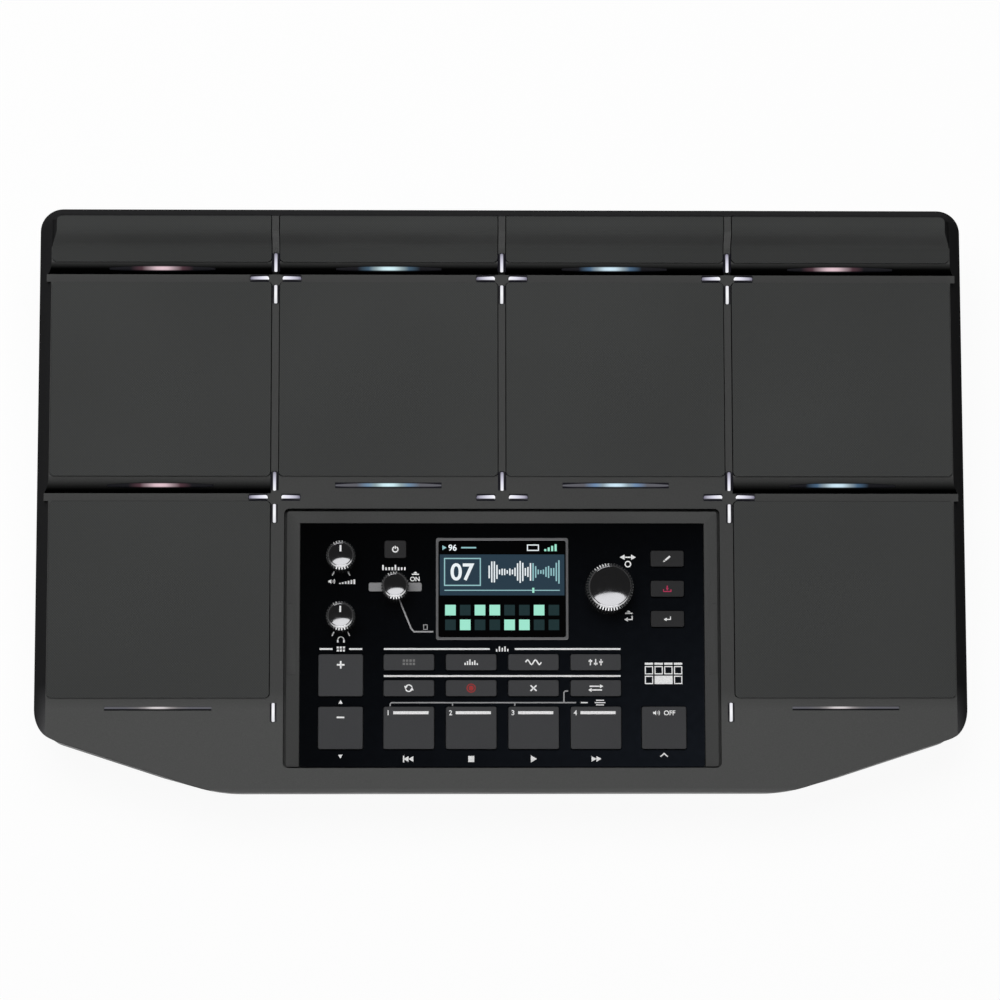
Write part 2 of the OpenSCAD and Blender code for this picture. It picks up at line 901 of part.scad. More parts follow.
module panel_bezel() {
    high = -0.2;
    low = 0.4 - panel_drop;
    seat = -panel_drop - panel_t;
    side_in = panel_w / 2 + panel_gap / 2;
    back_in = panel_back_y + panel_gap / 2;
    back_out = panel_back_y + panel_gap + bezel_d;
    scoop_l = 31;
    scoop_r = 7;
    scoop_h = 0.55;
    scoop_lean = 0.9;
    color(case_color)
        on_deck()
            difference() {
                intersection() {
                    union() {
                        for (side = [0, 1])
                            mirror([side, 0, 0])
                                translate([0, (panel_front_y + back_out) / 2, 0])
                                    along_y(back_out - panel_front_y)
                                        polygon([[side_in, seat], [bezel_x, seat], [bezel_x, high], [side_in, low]]);
                        along_x(2 * bezel_x)
                            polygon([[back_in, seat], [back_out, seat], [back_out, high], [back_in, low]]);
                    }
                    block(-bezel_x, bezel_x, panel_front_y, back_out, 2 * seat, cut, panel_r);
                }
                for (side = [0, 1])
                    mirror([side, 0, 0])
                        translate([(side_in + bezel_x) / 2, panel_front_y + edit_y + key_d / 2 + row_gap / 2,
                                   (high + low) / 2 + scoop_r - scoop_h])
                            rotate([-90 + scoop_lean, 0, 0])
                                cylinder(r = scoop_r, h = scoop_l);
            }
}

module window_shape() {
    translate([0, screen_y])
        rounded_rect(screen_w - 2 * screen_rim, screen_d - 2 * screen_rim, panel_r);
}

module beat_lens_shape(extra) {
    translate([beat_x, screen_y + knob_back])
        rounded_rect(beat_lens_w + 2 * extra, beat_lens_d + 2 * extra, beat_lens_r + extra);
}

module control_panel() {
    front_posts = [[-key_pitch, track_y], [key_pitch, track_y]];
    back_posts = [for (s = [-1, 1], y = [screen_y - screen_d / 2 - post_d / 2, panel_d - panel_lip - post_d / 2])
        [s * (side_x - side_key_w / 2 - post_d / 2), y]];
    post_h = -panel_board_z - panel_t;
    color(panel_color)
        on_panel()
            translate([0, 0, -panel_t]) {
                linear_extrude(panel_t)
                    difference() {
                        translate([0, panel_d / 2])
                            rounded_rect(panel_w, panel_d, panel_r);
                        for (k = KEYS)
                            translate([k[1], k[2]])
                                rounded_rect(k[3] + 2 * key_gap, k[4] + 2 * key_gap, key_r + key_gap);
                        for (k = KNOBS)
                            translate([k[1], k[2]])
                                circle(d = shaft_hole_d);
                        window_shape();
                        beat_lens_shape(seat_gap);
                    }
                for (p = front_posts)
                    translate([p[0], p[1], -post_h])
                        cylinder(d = slim_post_d, h = post_h);
                for (p = back_posts)
                    translate([p[0], p[1], -post_h])
                        cylinder(d = post_d, h = post_h);
            }
}

module screen_frame() {
    color("#7c7f82")
        on_panel()
            linear_extrude(frame_rise)
                difference() {
                    translate([0, screen_y])
                        rounded_rect(screen_w, screen_d, panel_r);
                    window_shape();
                }
}

module screen_glass() {
    color("#10161c")
        on_panel()
            translate([0, screen_y, -panel_t])
                linear_extrude(panel_t - glass_drop)
                    rounded_rect(screen_w - 2 * screen_rim - 2 * seat_gap,
                                 screen_d - 2 * screen_rim - 2 * seat_gap, panel_r);
}

module display_module() {
    color("#3a3d40")
        on_panel()
            translate([0, screen_y, -panel_t - display_t / 2])
                cube([screen_w + 2 * display_edge, screen_d + 2 * display_edge, display_t], center = true);
}

module beat_lens() {
    color("#8d9194")
        on_panel()
            translate([0, 0, -panel_t])
                linear_extrude(panel_t + beat_lens_rise)
                    difference() {
                        beat_lens_shape(0);
                        translate([beat_x, screen_y + knob_back])
                            circle(d = shaft_hole_d + 1);
                    }
}

// A keycap with its retaining flange and the foot over its switch
module key(i) {
    k = KEYS[i];
    top_of_flange = -panel_t - move_gap;
    color(key_color)
        on_panel()
            translate([k[1], k[2], 0]) {
                translate([0, 0, top_of_flange - flange_t])
                    linear_extrude(key_rise - top_of_flange + flange_t)
                        rounded_rect(k[3], k[4], key_r);
                translate([0, 0, top_of_flange - flange_t])
                    linear_extrude(flange_t)
                        rounded_rect(k[3] + 2 * flange_w, k[4] + 2 * flange_w, key_r);
                translate([0, 0, top_of_flange - flange_t - key_foot_h])
                    cylinder(d = key_foot_d, h = key_foot_h + flange_t);
            }
}

module key_switches() {
    color("#26282b")
        on_panel()
            for (k = KEYS)
                translate([k[1], k[2], panel_board_z + switch_h / 2])
                    cube([switch_w, min(switch_w, k[4]), switch_h], center = true);
}

module panel_board() {
    color(board_color)
        on_panel()
            translate([0, panel_d / 2, panel_board_z - board_t / 2])
                cube([panel_w - 2 * panel_board_edge, panel_d - panel_board_edge, board_t], center = true);
}

module volume_pots() {
    color("#5b5e61")
        on_panel()
            for (i = VOLUME)
                translate([KNOBS[i][1], KNOBS[i][2], panel_board_z])
                    difference() {
                        translate([-pot_w / 2, -pot_w / 2, 0])
                            cube([pot_w, pot_w, pot_h]);
                        translate([0, 0, pot_floor])
                            cylinder(d = shaft_d + 2 * run_gap, h = pot_h);
                    }
}

module encoder_bodies() {
    chamber = plunger_z + plunger_t + seat_gap - panel_board_z - plunger_floor;
    color("#5b5e61")
        on_panel()
            for (i = ENCODER)
                translate([KNOBS[i][1], KNOBS[i][2], panel_board_z])
                    difference() {
                        translate([-encoder_w / 2, -encoder_w / 2, 0])
                            cube([encoder_w, encoder_w, pot_h]);
                        translate([0, 0, plunger_floor])
                            cylinder(d = shaft_d + 2 * run_gap, h = pot_h);
                        translate([0, 0, plunger_floor])
                            cylinder(d = plunger_d + 2 * move_gap, h = chamber);
                    }
}

module plunger(i) {
    color(metal_color)
        on_panel()
            translate([KNOBS[i][1], KNOBS[i][2], plunger_z])
                cylinder(d = plunger_d, h = plunger_t);
}

module shaft(i) {
    k = KNOBS[i];
    foot = i < ENCODER[0] ? panel_board_z + pot_floor + seat_gap : plunger_z + plunger_t + run_gap;
    color(metal_color)
        on_panel()
            translate([k[1], k[2], foot])
                cylinder(d = shaft_d, h = knob_lift + k[4] - knob_skin - seat_gap - foot);
}

// Half profile of a knob: a flared skirt, a waist and a crowned cap
module knob_profile(r, h) {
    cap_r = knob_cap_share * r;
    crown = 1;
    skirt_h = 0.3 * h;
    polygon([[0, 0], [r, 0], [r, skirt_h], [cap_r + 0.3, h - crown], [cap_r - 0.6, h - 0.3], [0, h]]);
}

module knob(i) {
    k = KNOBS[i];
    r = k[3] / 2;
    h = k[4];
    flutes = floor(2 * PI * r / flute_pitch);
    color("#141517")
        on_panel()
            translate([k[1], k[2], knob_lift])
                difference() {
                    intersection() {
                        rotate_extrude()
                            knob_profile(r, h);
                        linear_extrude(h + cut)
                            difference() {
                                circle(r + cut);
                                for (j = [0:flutes - 1])
                                    rotate([0, 0, 360 * j / flutes])
                                        translate([r, 0])
                                            circle(d = flute_d, $fn = 16);
                            }
                    }
                    translate([0, 0, -cut])
                        cylinder(d = shaft_d + 2 * run_gap, h = h - knob_skin + cut);
                    if (i < ENCODER[0])
                        translate([-pointer_w / 2, knob_cap_share * r * 0.25, h - pointer_t])
                            cube([pointer_w, r, pointer_t + cut]);
                }
}

// Boards and connectors in the bottom case

module main_board() {
    color(board_color)
        translate([-main_board_w / 2, back_y - wall - board_back - main_board_d, main_board_z])
            cube([main_board_w, main_board_d, board_t]);
}

// A connector's front ends at the outer face of the back wall, and its body stands on the board
module on_back(x, h) {
    translate([x, back_y, connector_z + h / 2])
        children();
}

module collar(d) {
    translate([0, (bush_proud - wall - move_gap) / 2, 0])
        along_y(bush_proud + wall + move_gap)
            circle(d = d);
}

module housing(w, l, h) {
    translate([-w / 2, -wall - move_gap - l, -h / 2])
        cube([w, l, h]);
}

module output_jacks() {
    color("#1f2022")
        for (i = [0:jack_count - 1])
            on_back(jack_x - i * jack_pitch, jack_h)
                difference() {
                    union() {
                        collar(bush_d);
                        housing(jack_w, jack_l, jack_h);
                    }
                    along_y(2 * jack_l)
                        circle(d = jack_bore_d);
                }
}

module midi_sockets() {
    ring_d = 12.4;
    ring_t = 1;
    depth = 8;
    pin_d = 1.5;
    pin_r = 3.75;
    color("#1f2022")
        for (x = MIDI_X)
            on_back(x, midi_w)
                difference() {
                    union() {
                        collar(midi_d);
                        housing(midi_w, midi_l, midi_w);
                    }
                    along_y(2 * depth)
                        difference() {
                            circle(d = ring_d + ring_t);
                            circle(d = ring_d - ring_t);
                        }
                    for (a = [0:45:180])
                        along_y(2 * depth)
                            translate([pin_r * cos(a), pin_r * sin(a)])
                                circle(d = pin_d);
                }
}

module usb_socket() {
    shell = 0.6;
    tongue_w = 5.6;
    tongue_h = 3.2;
    depth = 9;
    color(metal_color)
        on_back(usb_x, usb_h)
            difference() {
                translate([-usb_w / 2, -usb_l, -usb_h / 2])
                    cube([usb_w, usb_l + bush_proud, usb_h]);
                along_y(2 * depth)
                    difference() {
                        square([usb_w - 4 * shell, usb_h - 4 * shell], center = true);
                        square([tongue_w, tongue_h], center = true);
                    }
            }
}

module dc_inlet() {
    pin_d = 2.1;
    barrel_d = 5.7;
    depth = 9;
    color("#1f2022")
        on_back(dc_x, dc_h)
            difference() {
                union() {
                    collar(dc_w);
                    housing(dc_w, dc_l, dc_h);
                }
                along_y(2 * depth)
                    difference() {
                        circle(d = barrel_d);
                        circle(d = pin_d);
                    }
            }
}

top_case();
bottom_case();
panel_bezel();
control_panel();
screen_frame();
screen_glass();
display_module();
beat_lens();
bar_pads();
for (i = [0:len(PADS) - 1])
    drum_pad(i);
pad_sensors();
cross_lenses();
strip_lenses();
light_boards();
panel_board();
main_board();
key_switches();
volume_pots();
encoder_bodies();
output_jacks();
midi_sockets();
usb_socket();
dc_inlet();
rubber_feet();
case_screws();
stand_inserts();
for (i = [0:len(KEYS) - 1])
    key(i);
for (i = [0:len(KNOBS) - 1]) {
    knob(i);
    shaft(i);
}
for (i = ENCODER)
    plunger(i);
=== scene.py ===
"""Looks of a sampling drum pad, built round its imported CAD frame."""

import json
import math

import bpy
from mathutils import Matrix, Vector

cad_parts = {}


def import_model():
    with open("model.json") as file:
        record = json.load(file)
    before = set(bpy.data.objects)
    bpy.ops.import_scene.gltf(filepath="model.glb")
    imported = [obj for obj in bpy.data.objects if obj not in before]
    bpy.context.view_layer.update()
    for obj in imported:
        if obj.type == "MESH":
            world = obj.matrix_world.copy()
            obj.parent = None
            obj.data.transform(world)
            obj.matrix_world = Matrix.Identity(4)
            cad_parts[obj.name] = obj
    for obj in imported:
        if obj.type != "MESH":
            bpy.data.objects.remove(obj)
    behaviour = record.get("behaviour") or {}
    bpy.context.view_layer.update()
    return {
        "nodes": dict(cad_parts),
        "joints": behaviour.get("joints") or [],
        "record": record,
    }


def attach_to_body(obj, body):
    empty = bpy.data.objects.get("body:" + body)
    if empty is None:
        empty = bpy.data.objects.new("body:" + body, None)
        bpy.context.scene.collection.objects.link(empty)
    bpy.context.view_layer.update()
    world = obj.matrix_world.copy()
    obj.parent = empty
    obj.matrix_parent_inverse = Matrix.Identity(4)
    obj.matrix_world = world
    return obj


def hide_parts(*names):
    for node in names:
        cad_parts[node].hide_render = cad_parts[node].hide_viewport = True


MM = 0.001

# The frame, its joints and the plane of the control panel

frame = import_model()
nodes = frame["nodes"]
joints = {joint["name"]: joint for joint in frame["joints"]}
bodies = frame["record"]["behaviour"]["bodies"]
body_of = {node: body for body, held in bodies.items() for node in held}
slot_of = {part["node"]: part["material_slot"] for part in frame["record"]["subparts"]}

panel_up = Vector(joints["value_turn"]["axis"]).normalized()
panel_right = Vector((1, 0, 0))
panel_back = panel_up.cross(panel_right)
value_axis = Vector(joints["value_turn"]["pos_m"])
screen_middle = Vector((0, value_axis.y, value_axis.z))
panel_axes = Matrix((panel_right, panel_back, panel_up))
PANEL = Matrix.Translation(screen_middle) @ panel_axes.transposed().to_4x4()
TO_PANEL = PANEL.inverted()
FLAT = 0.05


def local(point):
    """A world point in millimetres on the panel: right, back and up from the middle of the screen."""
    return (TO_PANEL @ Vector(point)) / MM


def world(point):
    """A point in panel millimetres, in the world."""
    return PANEL @ (Vector(point) * MM)


def shells(node):
    """The separate solids of a CAD node, each as corner points in panel millimetres and faces."""
    mesh = nodes[node].data
    place = {}
    index = []
    for vertex in mesh.vertices:
        key = tuple(round(c / MM, 3) for c in vertex.co)
        index.append(place.setdefault(key, len(place)))
    points = [local(Vector(key) * MM) for key in place]
    parent = list(range(len(points)))

    def root(i):
        while parent[i] != i:
            parent[i] = parent[parent[i]]
            i = parent[i]
        return i

    faces = []
    for polygon in mesh.polygons:
        face = tuple(dict.fromkeys(index[v] for v in polygon.vertices))
        if len(face) > 2:
            faces.append(face)
            for other in face[1:]:
                parent[root(other)] = root(face[0])
    found = {}
    for face in faces:
        found.setdefault(root(face[0]), []).append(face)
    solids = []
    for held in found.values():
        used = sorted({v for face in held for v in face})
        number = {v: i for i, v in enumerate(used)}
        solids.append(([points[v] for v in used], [tuple(number[v] for v in face) for face in held]))
    return solids


def extent(points):
    """Lowest and highest corner of some points."""
    return (
        Vector([min(p[axis] for p in points) for axis in range(3)]),
        Vector([max(p[axis] for p in points) for axis in range(3)]),
    )


def points_of(piece):
    """The corner points of a piece in panel millimetres."""
    return [local(v.co) for v in piece.data.vertices]


def local_box(node):
    return extent(points_of(nodes[node]))


def top_face(node):
    """Lowest and highest corner of a node's flat top, in panel millimetres."""
    points = points_of(nodes[node])
    top = max(p.z for p in points)
    return extent([p for p in points if top - p.z < FLAT])


def facing_of(polygon):
    """The way a face looks: its share to the right, to the back and up."""
    return panel_axes @ polygon.normal


# Shader helpers

BUMP_STRENGTH = 0.6
GLOW_BLUR = 0.08
WAVE_BAND = math.tau / 20


def new_material(name, color, roughness, **sockets):
    material = bpy.data.materials.new(name)
    material.use_nodes = True
    surface = surface_of(material)
    surface.inputs["Base Color"].default_value = (*color, 1)
    surface.inputs["Roughness"].default_value = roughness
    for socket, value in sockets.items():
        surface.inputs[socket.replace("_", " ")].default_value = value
    return material


def surface_of(material):
    return material.node_tree.nodes["Principled BSDF"]


def add_node(material, kind, inputs=None, **settings):
    """A shader node; inputs hold constants or the sockets that feed them."""
    node = material.node_tree.nodes.new(kind)
    for name, value in settings.items():
        setattr(node, name, value)
    for name, value in (inputs or {}).items():
        if isinstance(value, bpy.types.NodeSocket):
            material.node_tree.links.new(value, node.inputs[name])
        else:
            node.inputs[name].default_value = value
    return node


def attach(material, output, socket):
    material.node_tree.links.new(output, surface_of(material).inputs[socket])


def position(material, kind="Object"):
    return add_node(material, "ShaderNodeTexCoord").outputs[kind]


def part_of(material, vector, axis):
    """One of the three numbers of a vector socket."""
    return add_node(material, "ShaderNodeSeparateXYZ", {"Vector": vector}).outputs[axis]


def math_node(material, operation, *values):
    inputs = dict(enumerate(values))
    return add_node(material, "ShaderNodeMath", inputs, operation=operation).outputs[0]


def sideways(material):
    """Distance to the left or right of the middle, in metres."""
    return math_node(material, "ABSOLUTE", part_of(material, position(material), "X"))


def noise(material, size, detail=3.0):
    """Noise with grains of the given size in millimetres."""
    inputs = {"Vector": position(material), "Scale": 1 / (size * MM), "Detail": detail}
    return add_node(material, "ShaderNodeTexNoise", inputs).outputs["Fac"]


def ramp(material, value, stops):
    """Colours set along a value from 0 to 1."""
    node = add_node(material, "ShaderNodeValToRGB", {"Fac": value})
    elements = node.color_ramp.elements
    while len(elements) < len(stops):
        elements.new(0.5)
    for element, (place, color) in zip(elements, stops):
        element.position = place
        element.color = (*color, 1)
    return node.outputs["Color"]


def spread_over(material, value, low, high, first=0.3, last=0.7):
    """A value that runs from low to high while another runs from first to last."""
    inputs = {"Value": value, "From Min": first, "From Max": last, "To Min": low, "To Max": high}
    return add_node(material, "ShaderNodeMapRange", inputs).outputs["Result"]


def multiplied(material, first, second):
    """The product of two colour sockets."""
    node = add_node(
        material, "ShaderNodeMix", {0: 1.0, 6: first, 7: second}, data_type="RGBA", blend_type="MULTIPLY"
    )
    return node.outputs[2]


def grey(level):
    return (level, level, level)


def scaled(color, factor):
    return tuple(c * factor for c in color)


def tint(material, value, spread, first=0.3, last=0.7):
    """Lightens and darkens the base colour by a share of itself along a value."""
    base = surface_of(material).inputs["Base Color"].default_value[:3]
    color = ramp(material, value, [(first, scaled(base, 1 - spread)), (last, scaled(base, 1 + spread))])
    attach(material, color, "Base Color")


def shade(material, value, stops):
    """Multiplies the base colour by shares set along a value from 0 to 1."""
    source = surface_of(material).inputs["Base Color"].links[0].from_socket
    shares = ramp(material, value, [(place, grey(share)) for place, share in stops])
    attach(material, multiplied(material, source, shares), "Base Color")
    return material


def dent(material, value, depth):
    """Bumps of the given depth in millimetres."""
    inputs = {"Height": value, "Strength": BUMP_STRENGTH, "Distance": depth * MM}
    bump = add_node(material, "ShaderNodeBump", inputs)
    attach(material, bump.outputs["Normal"], "Normal")


def wear(material, size, spread):
    """Roughness that varies softly, as handling leaves it."""
    rough = surface_of(material).inputs["Roughness"].default_value
    worn = spread_over(material, noise(material, size), rough - spread, rough + spread)
    attach(material, worn, "Roughness")


def moulded(material, grain, spread, depth):
    """Moulded plastic or rubber: fine grain in colour and height, with soft patches of wear."""
    value = noise(material, grain)
    tint(material, value, spread)
    dent(material, value, depth)
    wear(material, 40, 0.05)
    return material


def grained(name, color, roughness, grain, **sockets):
    """A moulded material with a grain of a size, a spread of colour and a depth."""
    return moulded(new_material(name, color, roughness, **sockets), *grain)


def hatched(material, pitch, spread, depth):
    """Rubber with a grip of fine diagonal hatching."""
    diagonal = {"Vector": position(material), "Rotation": (0, 0, math.radians(45))}
    turned = add_node(material, "ShaderNodeMapping", diagonal).outputs["Vector"]
    inputs = {"Vector": turned, "Scale": WAVE_BAND / (pitch * MM)}
    waves = [
        add_node(material, "ShaderNodeTexWave", inputs, bands_direction=direction).outputs["Fac"]
        for direction in "XY"
    ]
    dots = math_node(material, "MULTIPLY", *waves)
    patches = noise(material, 60, 5.0)
    both = add_node(material, "ShaderNodeMix", {"Factor": 0.5, "A": dots, "B": patches})
    tint(material, both.outputs["Result"], spread, 0.2, 0.8)
    dent(material, dots, depth)
    wear(material, 30, 0.05)
    return material


def towards_front(material, start, reach):
    """Share of a reach covered towards the front from a place on the panel, both in millimetres."""
    inputs = {0: position(material), 1: -panel_back}
    along = add_node(material, "ShaderNodeVectorMath", inputs, operation="DOT_PRODUCT")
    level = -panel_back.dot(world((0, start, 0)))
    return spread_over(material, along.outputs["Value"], 0.0, 1.0, level, level + reach * MM)


def shine(material, light):
    attach(material, light, "Emission Color")
    surface_of(material).inputs["Emission Strength"].default_value = 1.0
    return material


def glowing(name, along, stops, across, lit):
    """A lit lens: light that runs along one axis of the piece's box and fills a share across it."""
    material = new_material(name, (0.006, 0.006, 0.008), 0.4, Specular_IOR_Level=0.1)
    box = position(material, "Generated")
    first, last = lit
    mask = ramp(material, part_of(material, box, across), [
        (first - GLOW_BLUR, grey(0)),
        (first + GLOW_BLUR, grey(1)),
        (last - GLOW_BLUR, grey(1)),
        (last + GLOW_BLUR, grey(0)),
    ])
    light = multiplied(material, ramp(material, part_of(material, box, along), stops), mask)
    return shine(material, light)


def backwards(stops):
    return [(1 - place, color) for place, color in reversed(stops)]


def screen_light(name, color):
    """A lit area of the screen, with the fine rows of its dots."""
    material = new_material(name, (0.004, 0.004, 0.005), 0.2)
    inputs = {"Vector": position(material), "Scale": 1 / MM}
    rows = add_node(material, "ShaderNodeTexWave", inputs, bands_direction="Y").outputs["Fac"]
    light = ramp(material, rows, [(0.0, scaled(color, 0.9)), (1.0, color)])
    return shine(material, light)


# Places on the deck, in panel millimetres

LENS_PROUD = 0.15
deck_top = local_box("cross_lenses")[1].z - LENS_PROUD
deck_side = local_box("top_case")[1].x
pad_1 = local_box("drum_pad_1")
pad_4 = local_box("drum_pad_4")
pad_5 = local_box("drum_pad_5")
bars = local_box("bar_pads")

# Materials of the slots, with grains given as size, spread of colour and depth

CASE = (0.073, 0.074, 0.073)
RUBBER = (0.05, 0.052, 0.051)
RUBBER_ROUGH = 0.72
GRIP = (0.8, 0.2, 0.05)
CASE_GRAIN = (0.45, 0.1, 0.03)
KEY_GRAIN = (0.35, 0.1, 0.015)
LENS_GRAIN = (0.4, 0.05, 0.01)
METAL_GRAIN = (0.3, 0.1, 0.01)
SLOT_MATERIALS = [
    grained("case_plastic", scaled(CASE, 0.45), 0.5, CASE_GRAIN),
    hatched(new_material("pad_rubber", RUBBER, RUBBER_ROUGH), *GRIP),
    new_material("panel_gloss", (0.009, 0.0112, 0.0155), 0.1),
    new_material("screen_trim", (0.3, 0.3, 0.31), 0.35, Metallic=0.7),
    new_material("screen_glass", (0.001, 0.001, 0.0012), 0.05),
    grained("display_case", (0.05, 0.052, 0.055), 0.5, (0.5, 0.1, 0.02)),
    grained("beat_window", (0.24, 0.24, 0.245), 0.45, (0.5, 0.12, 0.02)),
    grained("light_lens", (0.5, 0.5, 0.52), 0.3, LENS_GRAIN),
    grained("strip_lens", (0.05, 0.05, 0.052), 0.3, LENS_GRAIN),
    grained("circuit_board", (0.01, 0.06, 0.025), 0.4, (1.5, 0.2, 0.02)),
    grained("sensor_film", (0.4, 0.27, 0.1), 0.4, (2.0, 0.1, 0.01)),
    grained("connector_plastic", (0.018, 0.018, 0.019), 0.45, (0.4, 0.15, 0.02)),
    grained("plated_steel", (0.45, 0.45, 0.46), 0.3, METAL_GRAIN, Metallic=1.0),
    grained("foot_rubber", (0.015, 0.015, 0.015), 0.8, (0.4, 0.2, 0.04)),
    grained("insert_brass", (0.55, 0.38, 0.15), 0.3, METAL_GRAIN, Metallic=1.0),
    grained("key_plastic", (0.046, 0.047, 0.05), 0.42, KEY_GRAIN),
    grained("knob_plastic", (0.62, 0.62, 0.63), 0.22, (0.3, 0.15, 0.01), Metallic=0.92),
    grained("shaft_metal", (0.5, 0.5, 0.51), 0.3, METAL_GRAIN, Metallic=1.0),
]
MATERIALS = {material.name.split(".")[0]: material for material in SLOT_MATERIALS}
for name in ("panel_gloss", "screen_glass", "screen_trim"):
    wear(MATERIALS[name], 25, 0.04)

# The panel's gloss, with a painted reflection: palest in its front right corner, darkest towards its back
# left

panel_gloss = MATERIALS["panel_gloss"]
panel_box = position(panel_gloss, "Generated")
tint(panel_gloss, noise(panel_gloss, 3), 0.1)
shade(panel_gloss, part_of(panel_gloss, panel_box, "X"), [(0.0, 0.25), (1.0, 1.0)])
shade(panel_gloss, part_of(panel_gloss, panel_box, "Y"), [(0.0, 1.0), (1.0, 0.12)])

# The top case's plastic: a painted sheen makes the front border paler than the deck behind it, and
# painted shade darkens the troughs before the bars and outer pads

LEDGE = 3.45
BORDER_START = 3
BORDER_FADE = 8
# Painted sheen: shares of the case colour behind the front border and on it
BORDER_SHEEN = [(0.0, 0.71), (1.0, 1.0)]
# Painted shade down the troughs, falling to near black, after a thin painted light band along their top
# edges
BAR_TROUGH_SHADE = [
    (0.0, 1.0), (0.01, 1.4), (0.09, 0.88), (0.17, 0.6), (0.25, 0.44), (0.32, 0.33),
    (0.4, 0.18), (0.47, 0.08), (0.55, 0.025), (0.97, 0.01), (1.0, 1.0),
]
SIDE_TROUGH_SHADE = [
    (0.0, 1.0), (0.01, 1.5), (0.06, 1.2), (0.16, 1.06), (0.27, 0.97), (0.33, 0.87),
    (0.39, 0.72), (0.44, 0.63), (0.5, 0.54), (0.55, 0.44), (0.61, 0.36), (0.67, 0.26),
    (0.72, 0.12), (0.78, 0.03), (0.97, 0.01), (1.0, 1.0),
]


def top_plastic(name, **sockets):
    material = grained(name, CASE, 0.5, CASE_GRAIN, **sockets)
    shade(material, towards_front(material, pad_5[0].y + BORDER_START, BORDER_FADE), BORDER_SHEEN)
    # Painted shade in the troughs before the bars and before the outer pads
    bar_trough = bars[0].y - pad_1[1].y - LEDGE
    shade(material, towards_front(material, bars[0].y, bar_trough), BAR_TROUGH_SHADE)
    side_trough = pad_1[0].y - pad_5[1].y - LEDGE
    outer = math_node(material, "GREATER_THAN", sideways(material), pad_4[0].x * MM)
    sunk = math_node(material, "MULTIPLY", towards_front(material, pad_1[0].y, side_trough), outer)
    return shade(material, sunk, SIDE_TROUGH_SHADE)


deck_plastic = top_plastic("deck_plastic")
trough_plastic = top_plastic("trough_plastic", Specular_IOR_Level=0.0)

# Painted shade makes the lip round the deck dark, and painted light turns it pale round its front corners

CORNER_START = 6
CORNER_FADE = 20
CORNER_PAINTED_LIGHT = [(0.0, 1.0), (1.0, 5.4)]
# A dark plastic painted as shade on the lip, the back rim and the backs of the bars
lip_painted_shade = grained("lip_painted_shade", (0.028, 0.028, 0.029), 0.6, CASE_GRAIN, Specular_IOR_Level=0.0)
inwards = spread_over(lip_painted_shade, sideways(lip_painted_shade), 1.0, 0.0, pad_4[1].x * MM, deck_side * MM)
forwards = towards_front(lip_painted_shade, pad_5[0].y + CORNER_START, CORNER_FADE)
shade(lip_painted_shade, math_node(lip_painted_shade, "MULTIPLY", inwards, forwards), CORNER_PAINTED_LIGHT)

# Other plastics, rubbers, inks and screen lights, some of them painted light or shade

# Painted shade on the bars: a darker band across the middle of their depth
BAR_PAINTED_SHADE = [
    (0.0, 0.9), (0.22, 1.0), (0.34, 0.93), (0.5, 0.72),
    (0.6, 0.66), (0.7, 0.75), (0.8, 0.82), (1.0, 0.82),
]
bezel_plastic = grained("bezel_plastic", scaled(CASE, 0.7), 0.5, CASE_GRAIN)
# A near-black plastic used as painted shadow on the bezel's slope and on the knobs' skirts under their
# caps
shadow_plastic = grained("shadow_plastic", (0.006, 0.006, 0.007), 0.5, (0.4, 0.1, 0.02))
bar_rubber = hatched(new_material("bar_rubber", RUBBER, RUBBER_ROUGH), *GRIP)
shade(bar_rubber, towards_front(bar_rubber, bars[1].y, bars[1].y - bars[0].y), BAR_PAINTED_SHADE)
# A pale rubber painted as light on the front faces of pads and bars
front_edge_painted_light = grained("front_edge_painted_light", (0.11, 0.113, 0.112), RUBBER_ROUGH, (0.4, 0.2, 0.02))
dark_key = grained("dark_key", (0.022, 0.022, 0.023), 0.42, KEY_GRAIN)
cap_metal = new_material("cap_metal", (0.6, 0.6, 0.62), 0.13, Metallic=1.0)
wear(cap_metal, 4, 0.04)
white_ink = new_material("white_ink", (0.95, 0.95, 0.95), 0.5)
grey_ink = new_material("grey_ink", (0.36, 0.36, 0.37), 0.5)
dim_ink = new_material("dim_ink", (0.2, 0.2, 0.2), 0.5)
red_ink = new_material("red_ink", (0.36, 0.03, 0.03), 0.5)
pink_ink = new_material("pink_ink", (0.5, 0.03, 0.1), 0.5)
# A near-black ink painted as shade round the lit legs and strips
painted_shade_ink = new_material("painted_shade_ink", (0.004, 0.0035, 0.008), 0.6)
for ink in (white_ink, grey_ink, dim_ink, red_ink, pink_ink, painted_shade_ink):
    tint(ink, noise(ink, 0.6), 0.12)

screen_white = screen_light("screen_white", (0.86, 0.92, 0.95))
screen_mint = screen_light("screen_mint", (0.36, 0.82, 0.64))
screen_pale = screen_light("screen_pale", (0.3, 0.55, 0.58))
screen_band = screen_light("screen_band", (0.021, 0.044, 0.066))
screen_dim = screen_light("screen_dim", (0.012, 0.03, 0.032))

# Lit lenses: each hue has the colour of its core, of its sides and of its ends

UNLIT = (0.003, 0.003, 0.004)
FAINT = (0.11, 0.11, 0.125)
PINK = ((0.76, 0.55, 0.61), (0.07, 0.03, 0.04), UNLIT)
CYAN = ((0.68, 0.91, 0.97), (0.05, 0.1, 0.15), UNLIT)
BLUE = ((0.64, 0.83, 0.95), (0.06, 0.12, 0.2), UNLIT)
CYAN_DECK = ((0.68, 0.91, 0.97), (0.16, 0.26, 0.38), FAINT)
BLUE_DECK = ((0.64, 0.83, 0.95), (0.16, 0.26, 0.42), FAINT)
PALE = ((0.68, 0.64, 0.65), (0.15, 0.145, 0.15), FAINT)


